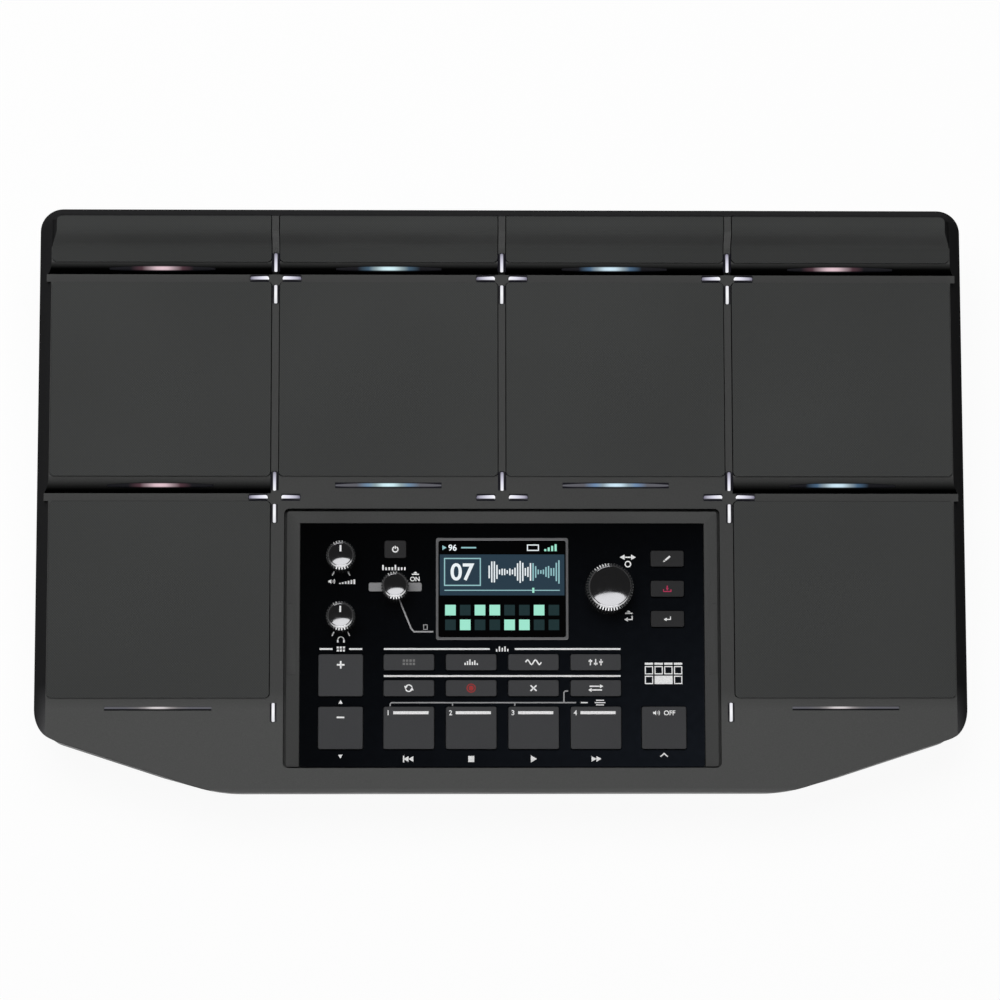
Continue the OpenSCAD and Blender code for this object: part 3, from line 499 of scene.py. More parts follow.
def strip_glow(name, hue, peak, lit):
    """A strip lens that shines at its peak and falls off to both ends."""
    core, side, rest = hue
    bright = scaled(core, 0.9)
    half_lit = scaled(core, 0.42)
    slope = [(0.05, bright), (0.12, half_lit), (0.19, side), (0.3, rest)]
    after = [(peak + away, color) for away, color in slope]
    before = [(peak - away, color) for away, color in reversed(slope)]
    stops = before + [(peak, core)] + after
    return glowing(name, "X", stops, "Y", lit)


LEG_STOPS = [
    (0.0, (0.95, 0.95, 1.0)),
    (0.4, (0.74, 0.73, 0.84)),
    (0.8, (0.42, 0.41, 0.5)),
    (1.0, (0.15, 0.14, 0.2)),
]
FRONT_STOPS = [(0.0, (0.8, 0.79, 0.86)), (0.5, (0.95, 0.95, 0.97)), (1.0, (0.8, 0.8, 0.84))]
LEG_CORE = (0.17, 0.83)
LEG_GLOW = {
    "right": glowing("leg_right", "X", LEG_STOPS, "Y", LEG_CORE),
    "left": glowing("leg_left", "X", backwards(LEG_STOPS), "Y", LEG_CORE),
    "back": glowing("leg_back", "Y", LEG_STOPS, "X", LEG_CORE),
    "front": glowing("leg_front", "Y", backwards(FRONT_STOPS), "X", LEG_CORE),
}

# Pieces made from the solids

SHARP = math.radians(30)
MERGE = math.radians(0.5)
ROUND_STEPS = 3
ON_FRONT = 0.02


def finish_piece(name, points, faces, material, node, replaces=True, smooth=True):
    """A piece from points in panel millimetres that rides with a node and may replace it."""
    mesh = bpy.data.meshes.new(name)
    mesh.from_pydata([world(point) for point in points], [], faces)
    if smooth:
        mesh.shade_smooth()
    mesh.materials.append(material)
    piece = bpy.data.objects.new(name, mesh)
    bpy.context.collection.objects.link(piece)
    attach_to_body(piece, body_of[node])
    if replaces:
        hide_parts(node)
    return piece


def weigh_edges(mesh, weight):
    """Marks each sharp edge with the share of rounding that a rule gives it by its end points."""
    beside = {}
    for polygon in mesh.polygons:
        for key in polygon.edge_keys:
            beside.setdefault(key, []).append(polygon.normal)
    weights = mesh.attributes.new("bevel_weight_edge", "FLOAT", "EDGE").data
    for edge in mesh.edges:
        normals = beside[edge.key]
        if len(normals) == 2 and normals[0].angle(normals[1]) > SHARP:
            weights[edge.index].value = weight(*(local(mesh.vertices[v].co) for v in edge.vertices))


def round_edges(piece, width, weight):
    """Merges flat faces, rounds sharp edges by a width in millimetres and keeps flats shaded flat."""
    flats = piece.modifiers.new("flats", "DECIMATE")
    flats.decimate_type = "DISSOLVE"
    flats.angle_limit = MERGE
    edges = piece.modifiers.new("edges", "BEVEL")
    edges.width = width * MM
    edges.segments = ROUND_STEPS
    edges.limit_method = "ANGLE"
    edges.angle_limit = SHARP
    edges.harden_normals = True
    if weight:
        weigh_edges(piece.data, weight)
        edges.limit_method = "WEIGHT"
    normals = piece.modifiers.new("normals", "WEIGHTED_NORMAL")
    normals.keep_sharp = True
    return piece


def softened(node, width, material=None, weight=None, reach=0.0):
    """A copy of each solid of a node with its edges rounded and its front face brought forward."""
    look = material or MATERIALS[slot_of[node]]
    step = Vector((0, -reach, 0))
    pieces = []
    for number, (points, faces) in enumerate(shells(node), 1):
        front = min(point.y for point in points)
        points = [point + step if point.y - front < ON_FRONT else point for point in points]
        name = "%s.%d" % (node, number)
        piece = finish_piece(name, points, faces, look, node)
        pieces.append(round_edges(piece, width, weight))
    return pieces


def middle(piece):
    """Middle of a piece in panel millimetres."""
    lo, hi = extent(points_of(piece))
    return (lo + hi) / 2


for node, obj in nodes.items():
    obj.data.materials.clear()
    obj.data.materials.append(MATERIALS[slot_of[node]])

ROUNDING = {
    "bottom_case": 0.5,
    "control_panel": 0.25,
    "screen_frame": 0.2,
    "screen_glass": 0.1,
    "beat_lens": 0.2,
}
for node, width in ROUNDING.items():
    softened(node, width)
KEYS = [node for node in nodes if node.endswith("_key") or "_key_" in node]
KEY_ROUND = 0.22
for node in KEYS:
    is_dark = node == "power_key" or node.startswith("menu_key")
    softened(node, KEY_ROUND, dark_key if is_dark else None)

# Pads and bars, with painted light on their front edges, and bars with painted shade on their backs and
# outer ends

PADS = ["drum_pad_%d" % i for i in range(1, 7)]
PAD_ROUND = 0.8
BAR_ROUND = 0.6
PAD_FIT = 0.15
TIGHT = (pad_1[0].y, pad_5[0].y, bars[0].y, bars[1].y)
TIGHT_REACH = 0.3
TIGHT_SHARE = 0.1
BAR_END = 5
FRONTAL = -0.9
TURNED = 0.3


def tight_front(a, b):
    """Little rounding where a pad or bar meets the deck or the rim, full rounding elsewhere."""
    level = abs(a.y - b.y) < FLAT
    tight = level and min(abs(a.y - place) for place in TIGHT) < TIGHT_REACH
    return TIGHT_SHARE if tight else 1.0


def edged(piece):
    """Painted light: pale rubber on the front edge of a pad or bar."""
    piece.data.materials.append(front_edge_painted_light)
    for polygon in piece.data.polygons:
        if facing_of(polygon).y < FRONTAL:
            polygon.material_index = 1
    return piece


for node in PADS:
    edged(softened(node, PAD_ROUND, weight=tight_front, reach=PAD_FIT)[0])
# Painted shade on the backs and outer ends of the bars, in the lip's dark plastic
for piece in softened("bar_pads", BAR_ROUND, bar_rubber, tight_front, PAD_FIT):
    edged(piece).data.materials.append(lip_painted_shade)
    for polygon in piece.data.polygons:
        facing = facing_of(polygon)
        at_end = abs(local(polygon.center).x) > pad_4[1].x - BAR_END
        if facing.y > TURNED or abs(facing.x) > TURNED and at_end:
            polygon.material_index = 2

# The panel bezel, with painted shadow on its slope down to the panel

bezel = local_box("panel_bezel")
BEZEL_SLOPE = 1.3
BEZEL_INSET = 3
BEZEL_SHARE = 0.25
BEZEL_TOP = 0.3


def inner_edge(a, b):
    """Full rounding along the top inner edges of the bezel, little elsewhere."""
    within = max(abs(a.x), abs(b.x)) < bezel[1].x - BEZEL_INSET
    inner = within and max(a.y, b.y) < bezel[1].y - BEZEL_INSET
    return 1.0 if inner and min(a.z, b.z) > BEZEL_TOP else BEZEL_SHARE


for piece in softened("panel_bezel", BEZEL_SLOPE, bezel_plastic, inner_edge):
    piece.data.materials.append(shadow_plastic)
    piece.modifiers["edges"].material = 1
    piece.modifiers["edges"].segments = 1

# The top case, with a lip of painted shade outside the pads and bars, and dull troughs and steep side
# walls

CASE_ROUND = 0.4
LIP_GAP = 0.1
LEVEL = 0.97
STEEP = 0.7
SIDE_ON = 0.2
BELOW = 0.002
top_case = softened("top_case", CASE_ROUND, deck_plastic, tight_front)[0]
top_case.data.materials.append(lip_painted_shade)
top_case.data.materials.append(trough_plastic)
for polygon in top_case.data.polygons:
    at = local(polygon.center)
    facing = facing_of(polygon)
    behind = at.y > bars[1].y or facing.y > TURNED and at.y > bars[0].y
    beside = abs(at.x) > pad_4[1].x + LIP_GAP and facing.z < LEVEL
    side_wall = facing.z < STEEP and abs(facing.x) > SIDE_ON
    if behind or beside:
        polygon.material_index = 1
    elif at.z < deck_top - BELOW and (at.y > pad_5[1].y or side_wall):
        polygon.material_index = 2

# Light strips and legs

LENS_ROUND = 0.25
ROW = 20
LEG_END = 2.2
strips = softened("strip_lenses", LENS_ROUND)
strips.sort(key=lambda piece: (-round(middle(piece).y / ROW), middle(piece).x))
SUNK = (0.2, 0.7)
SLOT = (0.3, 0.9)
STRIP_LIGHT = [
    (PINK, 0.5, SUNK), (CYAN, 0.5, SUNK), (BLUE, 0.46, SUNK), (PINK, 0.43, SUNK),
    (PINK, 0.5, SUNK), (CYAN_DECK, 0.5, SUNK), (BLUE_DECK, 0.5, SUNK), (BLUE, 0.45, SUNK),
    (PALE, 0.5, SLOT), (PALE, 0.44, SLOT),
]
for number, (piece, (hue, peak, lit)) in enumerate(zip(strips, STRIP_LIGHT), 1):
    piece.data.materials[0] = strip_glow("strip_%d" % number, hue, peak, lit)


def leg_side(piece):
    """Where a leg points, told by its narrower end."""
    points = points_of(piece)
    lo, hi = extent(points)
    long_axis = 0 if hi.x - lo.x > hi.y - lo.y else 1
    across = 1 - long_axis

    def width_near(end):
        near = [p[across] for p in points if abs(p[long_axis] - end) < LEG_END]
        return max(near) - min(near)

    towards_high = width_near(hi[long_axis]) < width_near(lo[long_axis])
    return (("left", "right"), ("front", "back"))[long_axis][towards_high]


legs = [(piece, leg_side(piece)) for piece in softened("cross_lenses", LENS_ROUND)]
for piece, side in legs:
    piece.data.materials[0] = LEG_GLOW[side]

# Knobs: a skirt with a ring of teeth, a polished domed cap and, on the volume knobs, a pointer

ROUND = 96
CREASE = math.radians(25)


def loft(rings):
    """Faces that join rings of equal length and close both ends."""
    count = len(rings[0])
    points = [point for circle in rings for point in circle]
    faces = [tuple(range(count - 1, -1, -1))]
    for row in range(len(rings) - 1):
        for i in range(count):
            j = (i + 1) % count
            low = row * count
            faces.append((low + i, low + j, low + count + j, low + count + i))
    faces.append(tuple(range(len(points) - count, len(points))))
    return points, faces


def joined(solids):
    """One list of points and one of faces for several solids."""
    points = []
    faces = []
    for more_points, more_faces in solids:
        first = len(points)
        points += more_points
        faces += [tuple(first + i for i in face) for face in more_faces]
    return points, faces


def ring(centre, radius, height):
    """A circle of points about an upright axis."""
    turns = [math.tau * i / ROUND for i in range(ROUND)]
    x, y, _ = centre
    return [(x + radius * math.cos(t), y + radius * math.sin(t), height) for t in turns]


def tooth(centre, turn, half, profile):
    """An upright ridge on a knob, with a clockwise profile of radii and heights."""
    x, y, _ = centre
    c = math.cos(turn)
    s = math.sin(turn)
    return loft([
        [(x + r * c - side * s, y + r * s + side * c, z) for r, z in profile]
        for side in (-half, half)
    ])


def knob(node, teeth, cap_share, pointer=False):
    """A knob with a number of teeth and a cap of a share of its radius."""
    lo, hi = local_box(node)
    centre = (lo + hi) / 2
    radius = (hi.x - lo.x) / 2
    cap_r = cap_share * radius
    dome = 0.22 * cap_r
    rim = 0.28
    collar = hi.z - dome - rim
    metal = MATERIALS[slot_of[node]]

    # The skirt, in painted shadow but for a bright shelf under the cap
    neck = cap_r - 0.3
    shoulder = cap_r + 0.45
    shelf = collar - 2.2
    slope = shelf - 0.85 * (radius - shoulder)
    core = radius - 0.5
    sunk = 0.4
    skirt = [
        ring(centre, core, lo.z),
        ring(centre, core, slope - sunk),
        ring(centre, shoulder, shelf - sunk),
        ring(centre, shoulder, shelf),
        ring(centre, neck, shelf + 0.3),
        ring(centre, neck, collar - 0.4),
    ]
    piece = finish_piece(node + ".skirt", *loft(skirt), shadow_plastic, node)
    piece.data.set_sharp_from_angle(angle=CREASE)
    piece.data.materials.append(metal)
    shelf_row = 3
    first = 1 + shelf_row * ROUND
    for polygon in piece.data.polygons[first:first + ROUND]:
        polygon.material_index = 1

    # The teeth
    foot = lo.z + 0.3
    profile = [(shoulder - 0.2, shelf), (shoulder, shelf), (radius, slope), (radius, foot), (neck, foot)]
    half = 0.18 * math.tau * radius / teeth
    ridges = [tooth(centre, math.tau * i / teeth, half, profile) for i in range(teeth)]
    finish_piece(node + ".teeth", *joined(ridges), metal, node, smooth=False)

    def top(share):
        return collar + rim + dome * (1 - share * share)

    # The cap
    steps = 14
    edge = cap_r - 0.38
    rings = [
        ring(centre, cap_r - 0.1, collar - 0.8),
        ring(centre, cap_r, collar - 0.6),
        ring(centre, cap_r, collar),
        ring(centre, cap_r - 0.26, collar + 0.24),
    ]
    for step in range(steps):
        share = 1 - step / steps
        rings.append(ring(centre, edge * share, top(share)))
    cap = finish_piece(node + ".cap", *loft(rings), cap_metal, node)
    cap.data.set_sharp_from_angle(angle=CREASE)
    if not pointer:
        return

    # The pointer, bent over the cap
    left = centre.x - 0.38
    right = centre.x + 0.38
    line = []
    for share in (0.86, 0.71, 0.56, 0.41, 0.26):
        y = centre.y + edge * share
        under = top(share) - 0.1
        over = top(share) + 0.06
        line.append([(left, y, under), (right, y, under), (right, y, over), (left, y, over)])
    finish_piece(node + ".pointer", *loft(line), white_ink, node, smooth=False)


knob("main_volume_knob", 30, 0.8, pointer=True)
knob("phones_knob", 30, 0.8, pointer=True)
knob("beat_knob", 30, 0.8)
knob("value_knob", 50, 0.846)

# Print and screen marks

INK_ROOT = 0.02
INK_LIFT = 0.03


class Print:
    """Flat marks of one ink on a face at a height, gathered into one piece."""

    def __init__(self, height):
        self.height = height
        self.points = []
        self.faces = []

    def shape(self, outline):
        """A mark with a counter-clockwise outline."""
        count = len(outline)
        first = len(self.points)
        for z in (self.height - INK_ROOT, self.height + INK_LIFT):
            self.points += [(x, y, z) for x, y in outline]
        self.faces.append(tuple(first + i for i in reversed(range(count))))
        self.faces.append(tuple(first + count + i for i in range(count)))
        for i in range(count):
            j = (i + 1) % count
            self.faces.append((first + i, first + j, first + count + j, first + count + i))

    def box(self, x, y, width, depth):
        w = width / 2
        d = depth / 2
        self.shape([(x - w, y - d), (x + w, y - d), (x + w, y + d), (x - w, y + d)])

    def frame(self, x, y, width, depth, line):
        """The outline of a rectangle."""
        for side in (-1, 1):
            self.box(x, y + side * (depth - line) / 2, width, line)
            self.box(x + side * (width - line) / 2, y, line, depth - 2 * line)

    def line(self, path, width):
        """A line of even width with mitred bends."""
        path = [Vector(point) for point in path]
        steps = [(b - a).normalized() for a, b in zip(path, path[1:])]
        left = []
        right = []
        for i, point in enumerate(path):
            before = steps[max(i - 1, 0)]
            after = steps[min(i, len(steps) - 1)]
            heading = (before + after).normalized()
            side = Vector((-heading.y, heading.x)) * (width / 2 / heading.dot(after))
            left.append(point + side)
            right.append(point - side)
        self.shape([tuple(point) for point in right + left[::-1]])

    def arc(self, x, y, radius, width, first, last):
        """A band round a point from one angle to a larger one, in degrees."""
        steps = max(int((last - first) / 12), 2)
        turns = [math.radians(first + (last - first) * i / steps) for i in range(steps + 1)]

        def side(reach):
            return [(x + reach * math.cos(t), y + reach * math.sin(t)) for t in turns]

        self.shape(side(radius + width / 2) + side(radius - width / 2)[::-1])

    def ring(self, x, y, radius, width):
        for half in (0, 180):
            self.arc(x, y, radius, width, half, half + 180)

    def fan(self, x, y, radius, corners=24, first=0.0, span=360.0):
        """Points evenly set round a middle, joined into a solid mark."""
        turns = [math.radians(first + span * i / corners) for i in range(corners + (span < 360))]
        self.shape([(x + radius * math.cos(t), y + radius * math.sin(t)) for t in turns])

    def arrow(self, x, y, radius, heading):
        self.fan(x, y, radius, 3, heading)

    def text(self, words, x, y, height):
        """Plain numbers or words about a middle point."""
        curve = bpy.data.curves.new("words", "FONT")
        curve.body = words
        curve.extrude = 0.01
        curve.offset = 0.02
        holder = bpy.data.objects.new("words", curve)
        mesh = bpy.data.meshes.new_from_object(holder)
        lo, hi = extent([v.co for v in mesh.vertices])
        scale = height / (hi.y - lo.y)
        centre = (lo + hi) / 2
        place = {}
        index = []
        for v in mesh.vertices:
            z = self.height + (INK_LIFT if v.co.z > 0 else -INK_ROOT)
            at = (x + (v.co.x - centre.x) * scale, y + (v.co.y - centre.y) * scale, z)
            key = tuple(round(c, 4) for c in at)
            index.append(place.setdefault(key, len(self.points) + len(place)))
        self.points += list(place)
        for polygon in mesh.polygons:
            face = tuple(dict.fromkeys(index[v] for v in polygon.vertices))
            if len(face) > 2:
                self.faces.append(face)
        bpy.data.objects.remove(holder)
        bpy.data.curves.remove(curve)
        bpy.data.meshes.remove(mesh)

    def finish(self, name, material, node):
        """The gathered marks as one piece that rides with a node."""
        finish_piece(name, self.points, self.faces, material, node, replaces=False, smooth=False)


# Painted shade as dark edges round the legs, and round the two strips before the middle pads

SURROUND = {"left": 0.6, "right": 0.6, "back": 0.85, "front": 0.45}
TIP_SHARE = 0.4
SLOT_RIM = 0.1
LENS_EDGE = 0.3


def surround(ink, piece, side, width):
    """Painted shade as a dark edge round a leg, open at the hub."""
    lo, hi = extent(points_of(piece))
    at = (lo + hi) / 2
    out = hi if side in ("right", "back") else lo
    tip = TIP_SHARE * width
    step = tip / 2 if out is hi else -tip / 2
    if side in ("left", "right"):
        for y in (lo.y - width / 2, hi.y + width / 2):
            ink.box(at.x, y, hi.x - lo.x, width)
        ink.box(out.x + step, at.y, tip, hi.y - lo.y)
    else:
        for x in (lo.x - width / 2, hi.x + width / 2):
            ink.box(x, at.y, width, hi.y - lo.y)
        ink.box(at.x, out.y + step, hi.x - lo.x, tip)


def slot_edges(ink, piece, rim):
    """Painted shade as dark edges that fill a blunt slot in front of and behind a tapered strip."""
    points = points_of(piece)
    lo, hi = extent(points)
    at = (lo + hi) / 2
    left = lo.x - rim
    right = hi.x + rim
    upper = [p for p in points if p.z > hi.z - LENS_EDGE]
    for side, edge in ((1, hi.y + rim), (-1, lo.y - rim)):
        rows = {round(p.x, 2): p.y for p in upper if side * (p.y - at.y) > 0}
        bent = [(x, rows[x]) for x in sorted(rows)]
        outline = [(left, edge), (left, at.y), *bent, (right, at.y), (right, edge)]
        ink.shape(outline[::side])


dark = Print(deck_top)
for piece, side in legs:
    surround(dark, piece, side, SURROUND[side])
for piece in strips[5:7]:
    slot_edges(dark, piece, SLOT_RIM)
dark.finish("lens_painted_shade", painted_shade_ink, "top_case")

# Signs and patterns of any size


def speaker(ink, x, y, size):
    half = [(-1, -0.35), (-0.5, -0.35), (0, -0.8)]
    cone = half + [(a, -b) for a, b in reversed(half)]
    ink.shape([(x + a * size, y + b * size) for a, b in cone])
    for reach in (0.55, 1.05):
        ink.arc(x + 0.1 * size, y, reach * size, 0.24 * size, -45, 45)


def headphones(ink, x, y, size):
    ink.arc(x, y, size, 0.3 * size, 0, 180)
    for side in (-1, 1):
        ink.box(x + side * size, y - 0.4 * size, 0.55 * size, 0.85 * size)


def push_sign(ink, x, y, size):
    ink.fan(x, y, 0.85 * size, 12, 0, 180)
    ink.box(x, y - 0.45 * size, 3.6 * size, 0.6 * size)


def return_arrow(ink, x, y, size):
    right = x + size
    low = y - 0.2 * size
    ink.line([(right, y + 0.8 * size), (right, low), (x - 0.4 * size, low)], 0.34 * size)
    ink.arrow(x - 0.6 * size, low, 0.7 * size, 180)


def squares(ink, x, y, columns, rows, pitch, size):
    left = x - (columns - 1) / 2 * pitch
    front = y - (rows - 1) / 2 * pitch
    for column in range(columns):
        for row in range(rows):
            ink.box(left + column * pitch, front + row * pitch, size, size)


def upright_bars(ink, x, y, heights, pitch, width):
    """Bars that stand on one line."""
    left = x - (len(heights) - 1) / 2 * pitch
    for number, height in enumerate(heights):
        ink.box(left + number * pitch, y + height / 2, width, height)


# Places that the panel's marks are set from

face = {node: top_face(node) for node in KEYS}


def key_x(node):
    lo, hi = face[node]
    return (lo.x + hi.x) / 2


panel_top = top_face("control_panel")[1].z
white = Print(panel_top)
pale = Print(panel_top)
columns = [key_x("track_key_%d" % i) for i in range(1, 5)]
kit_x = key_x("kit_up_key")
mute_x = key_x("mute_key")
left_x = face["mode_key_1"][0].x
right_x = face["mode_key_4"][1].x
mode_line = face["mode_key_1"][1].y + 2.4
edit_line = face["edit_key_1"][1].y + 1.9
track_line = face["edit_key_1"][0].y - 2.8
under_line = face["track_key_1"][0].y - 4.3

# Lines over the key rows

BOLD = 0.75
THIN = 0.55
MODE_GAP = 5.4
white.line([(left_x, mode_line), (-MODE_GAP, mode_line)], BOLD)
white.line([(MODE_GAP, mode_line), (right_x, mode_line)], BOLD)
upright_bars(white, 0, mode_line - 1.1, (1.1, 2.2, 1.6, 2.2, 1.1), 1.2, 0.6)
white.line([(left_x, edit_line), (right_x, edit_line)], BOLD)
KIT_REACH = 9.2
KIT_LINE = 5.6
for side in (-1, 1):
    end = kit_x + side * KIT_REACH
    white.line(sorted([(end, mode_line), (end - side * KIT_LINE, mode_line)]), BOLD)
squares(white, kit_x, mode_line, 3, 2, 1.3, 0.9)
track_start = left_x + 2.8
TRACK_END = 31.9
TRACK_TICKS = (-21.5, 5.4)
RISER = 26.6
DASH = (33.9, 36.9)
LIST_X = 42.2
hook = [(track_start, track_line - 1.5), (track_start, track_line - 0.5), (track_start + 0.5, track_line)]
pale.line(hook + [(TRACK_END, track_line)], THIN)
for x in TRACK_TICKS:
    pale.line([(x, track_line - 1.4), (x, track_line)], THIN)
pale.line([
    (RISER, track_line),
    (RISER, track_line + 4.4),
    (RISER + 0.6, track_line + 5.0),
    (RISER + 1.8, track_line + 5.0),
], THIN)
white.line([(x, track_line) for x in DASH], THIN)
for row in (-1, 0, 1):
    white.box(LIST_X, track_line + row, 4.6 - 1.2 * abs(row), 0.45)

# Signs under the large keys

white.box(columns[0] - 2.2, under_line, 0.6, 3.0)
for x in (columns[0] - 0.8, columns[0] + 1.3):
    white.arrow(x, under_line, 1.45, 180)
white.box(columns[1], under_line, 2.6, 2.6)
white.arrow(columns[2] - 0.3, under_line, 1.8, 0)
for x in (columns[3] - 1.2, columns[3] + 0.9):
    white.arrow(x, under_line, 1.45, 0)
white.arrow(kit_x, track_line + 0.1, 1.1, 90)
white.arrow(kit_x, under_line + 1.3, 1.1, 270)
chevron = [(mute_x - 1.6, under_line + 0.9), (mute_x, under_line + 2.3), (mute_x + 1.6, under_line + 0.9)]
white.line(chevron, 0.5)

# Signs round the knobs

TICK = (7.0, 9.0)
TICK_TURNS = (-115, -65)
volume = middle(nodes["main_volume_knob"])
phones = middle(nodes["phones_knob"])
beat = middle(nodes["beat_knob"])
value = middle(nodes["value_knob"])
speaker(white, volume.x - 4.2, volume.y - 10.7, 1.3)
upright_bars(white, volume.x + 2.6, volume.y - 11.8, (0.5, 0.8, 1.1, 1.4, 1.7, 2.0), 1.25, 0.75)
headphones(white, phones.x, phones.y - 9.9, 1.35)
for at in (volume, phones):
    for turn in TICK_TURNS:
        toward = Vector((math.cos(math.radians(turn)), math.sin(math.radians(turn))))
        white.line([at.xy + reach * toward for reach in TICK], 0.5)
upright_bars(white, beat.x - 0.6, beat.y + 7.3, (2.3, 1.3, 1.3, 1.3) * 2, 1.35, 0.7)
push_sign(white, beat.x + 8.7, beat.y + 5.9, 0.85)
white.text("ON", beat.x + 8.5, beat.y + 3.5, 2.0)
lead = [(beat.x + 1.8, -4.85), (beat.x + 6.85, -17.1), (beat.x + 8.1, -18.6), (beat.x + 16.5, -18.6)]
pale.line(lead, 0.65)
pale.frame(beat.x + 13.1, -16.6, 1.9, 2.3, 0.35)
turn_x = value.x + 8.3
turn_y = value.y + 13.8
for side, heading in ((-1, 180), (1, 0)):
    white.arrow(turn_x + side * 2.1, turn_y, 1.4, heading)
white.box(turn_x, turn_y, 2.6, 0.55)
white.ring(turn_x, turn_y - 3.0, 1.2, 0.5)
push_sign(white, value.x + 8.5, value.y - 10.2, 0.9)
return_arrow(white, value.x + 8.5, value.y - 13.0, 1.5)

# A plan of the pads, right of the small keys

PLAN = 4.2
PLAN_GAP = 0.6
PLAN_LINE = 0.45
plan_pad = PLAN - PLAN_GAP
plan_y = (face["mode_key_1"][1].y + face["edit_key_1"][0].y) / 2
back_row = plan_y + 2.2
front_row = back_row - PLAN
for column in range(4):
    x = mute_x + (column - 1.5) * PLAN
    white.box(x, plan_y + 5.0, plan_pad, 0.9)
    white.frame(x, back_row, plan_pad, plan_pad, PLAN_LINE)
for side in (-1, 1):
    white.frame(mute_x + side * 1.5 * PLAN, front_row, plan_pad, plan_pad, PLAN_LINE)
white.box(mute_x, front_row, 2 * PLAN - PLAN_GAP, plan_pad)
white.finish("panel_print", white_ink, "control_panel")
pale.finish("panel_print_pale", grey_ink, "control_panel")

# Legends on the keys

KIT_LIFT = 4.5
MUTE_LIFT = 6.4
TRACK_LIFT = 6.5


def legend(node, draw, material=white_ink, lift=0.0):
    """A mark on a key, drawn about its middle or lifted towards its back edge."""
    lo, hi = face[node]
    ink = Print(hi.z)
    draw(ink, (lo.x + hi.x) / 2, (lo.y + hi.y) / 2 + lift)
    ink.finish(node + ".legend", material, node)


def pad_rows(ink, x, y):
    squares(ink, x, y, 4, 2, 1.45, 1.0)


def levels(ink, x, y):
    upright_bars(ink, x, y - 1.2, (1.0, 1.7, 2.4, 1.4, 2.0, 0.8), 1.05, 0.6)


def wave(ink, x, y):
    path = [(x - 3.4 + 0.425 * i, y + math.sin(math.tau * i / 8)) for i in range(17)]
    ink.line(path, 0.6)


def sliders(ink, x, y):
    for number, place in enumerate((0.5, -0.6, 0.1)):
        at = x + (number - 1) * 2.3
        ink.box(at, y, 0.5, 2.7)
        ink.box(at, y + place, 1.6, 0.8)


def loop(ink, x, y):
    for half in (0, 180):
        ink.arc(x, y, 1.4, 0.55, half + 20, half + 145)
        turn = math.radians(half + 162)
        ink.arrow(x + 1.4 * math.cos(turn), y + 1.4 * math.sin(turn), 0.95, half + 262)


def cross(ink, x, y):
    for side in (-1, 1):
        ink.line([(x - 1.3, y - side * 1.2), (x + 1.3, y + side * 1.2)], 0.65)


def swap(ink, x, y):
    for side in (-1, 1):
        ink.box(x - side * 0.5, y + side * 0.8, 4.4, 0.55)
        ink.arrow(x + side * 2.3, y + side * 0.8, 1.0, 90 - side * 90)


def pencil(ink, x, y):
    ink.line([(x - 0.8, y - 0.7), (x + 1.3, y + 1.0)], 0.8)
    ink.arrow(x - 1.3, y - 1.1, 0.55, 220)


def tray(ink, x, y):
    ink.box(x, y + 0.7, 0.5, 1.2)
    ink.arrow(x, y - 0.1, 0.75, 270)
    ink.line([(x - 1.6, y - 0.3), (x - 1.6, y - 1.2), (x + 1.6, y - 1.2), (x + 1.6, y - 0.3)], 0.42)


def back(ink, x, y):
    return_arrow(ink, x, y, 1.3)


def power(ink, x, y):
    ink.arc(x, y, 1.15, 0.55, 115, 425)
    ink.box(x, y + 0.85, 0.5, 1.3)


def minus(ink, x, y):
    ink.box(x, y, 3.3, 0.75)


def plus(ink, x, y):
    minus(ink, x, y)
    for side in (-1, 1):
        ink.box(x, y + side * 1.01, 0.75, 1.275)


def record(ink, x, y):
    ink.fan(x, y, 1.1)
    ink.ring(x, y, 1.75, 0.45)


def off(ink, x, y):
    speaker(ink, x - 3.4, y, 1.3)
    ink.text("OFF", x + 2.4, y, 2.1)


def track(number):
    """A number and a bar along the back edge of a track key."""
    lo, hi = face["track_key_1"]
    half = (hi.x - lo.x) / 2

    def draw(ink, x, y):
        ink.text(str(number), x - half + 1.9, y, 2.2)
        ink.box(x + 0.9, y, 2 * half - 6.4, 1.3)

    return draw


legend("power_key", power)
legend("kit_up_key", plus, lift=KIT_LIFT)
legend("kit_down_key", minus, lift=KIT_LIFT)
legend("mode_key_1", pad_rows, dim_ink)
legend("mode_key_2", levels)
legend("mode_key_3", wave)
legend("mode_key_4", sliders)
legend("edit_key_1", loop)
legend("edit_key_2", record, red_ink)
legend("edit_key_3", cross)
legend("edit_key_4", swap)
legend("menu_key_1", pencil)
legend("menu_key_2", tray, pink_ink)
legend("menu_key_3", back)
legend("mute_key", off, lift=MUTE_LIFT)
for number in range(1, 5):
    legend("track_key_%d" % number, track(number), lift=TRACK_LIFT)

# The screen's picture: a tempo and levels, a numbered sound with its wave, and a row of steps

BAND_FRONT = -2.8
BAND_BACK = 15.0
BAND_INSET = 1.0
glass = top_face("screen_glass")
band = Print(glass[1].z)
band_width = glass[1].x - glass[0].x - BAND_INSET
band.box(0, (BAND_FRONT + BAND_BACK) / 2, band_width, BAND_BACK - BAND_FRONT)
band.finish("screen_band", screen_band, "screen_glass")

lights = (screen_white, screen_mint, screen_pale, screen_dim)
marks = {light: Print(glass[1].z + INK_LIFT) for light in lights}
header = (BAND_BACK + glass[1].y) / 2
marks[screen_white].text("96", -21.5, header, 2.8)
marks[screen_pale].arrow(-25.3, header, 1.2, 0)
marks[screen_pale].box(-14.5, header, 6.5, 0.6)
upright_bars(marks[screen_mint], 21.0, header - 1.5, (0.9, 1.6, 2.3, 3.0), 1.5, 0.9)
marks[screen_white].frame(13.4, header, 5.2, 2.8, 0.45)

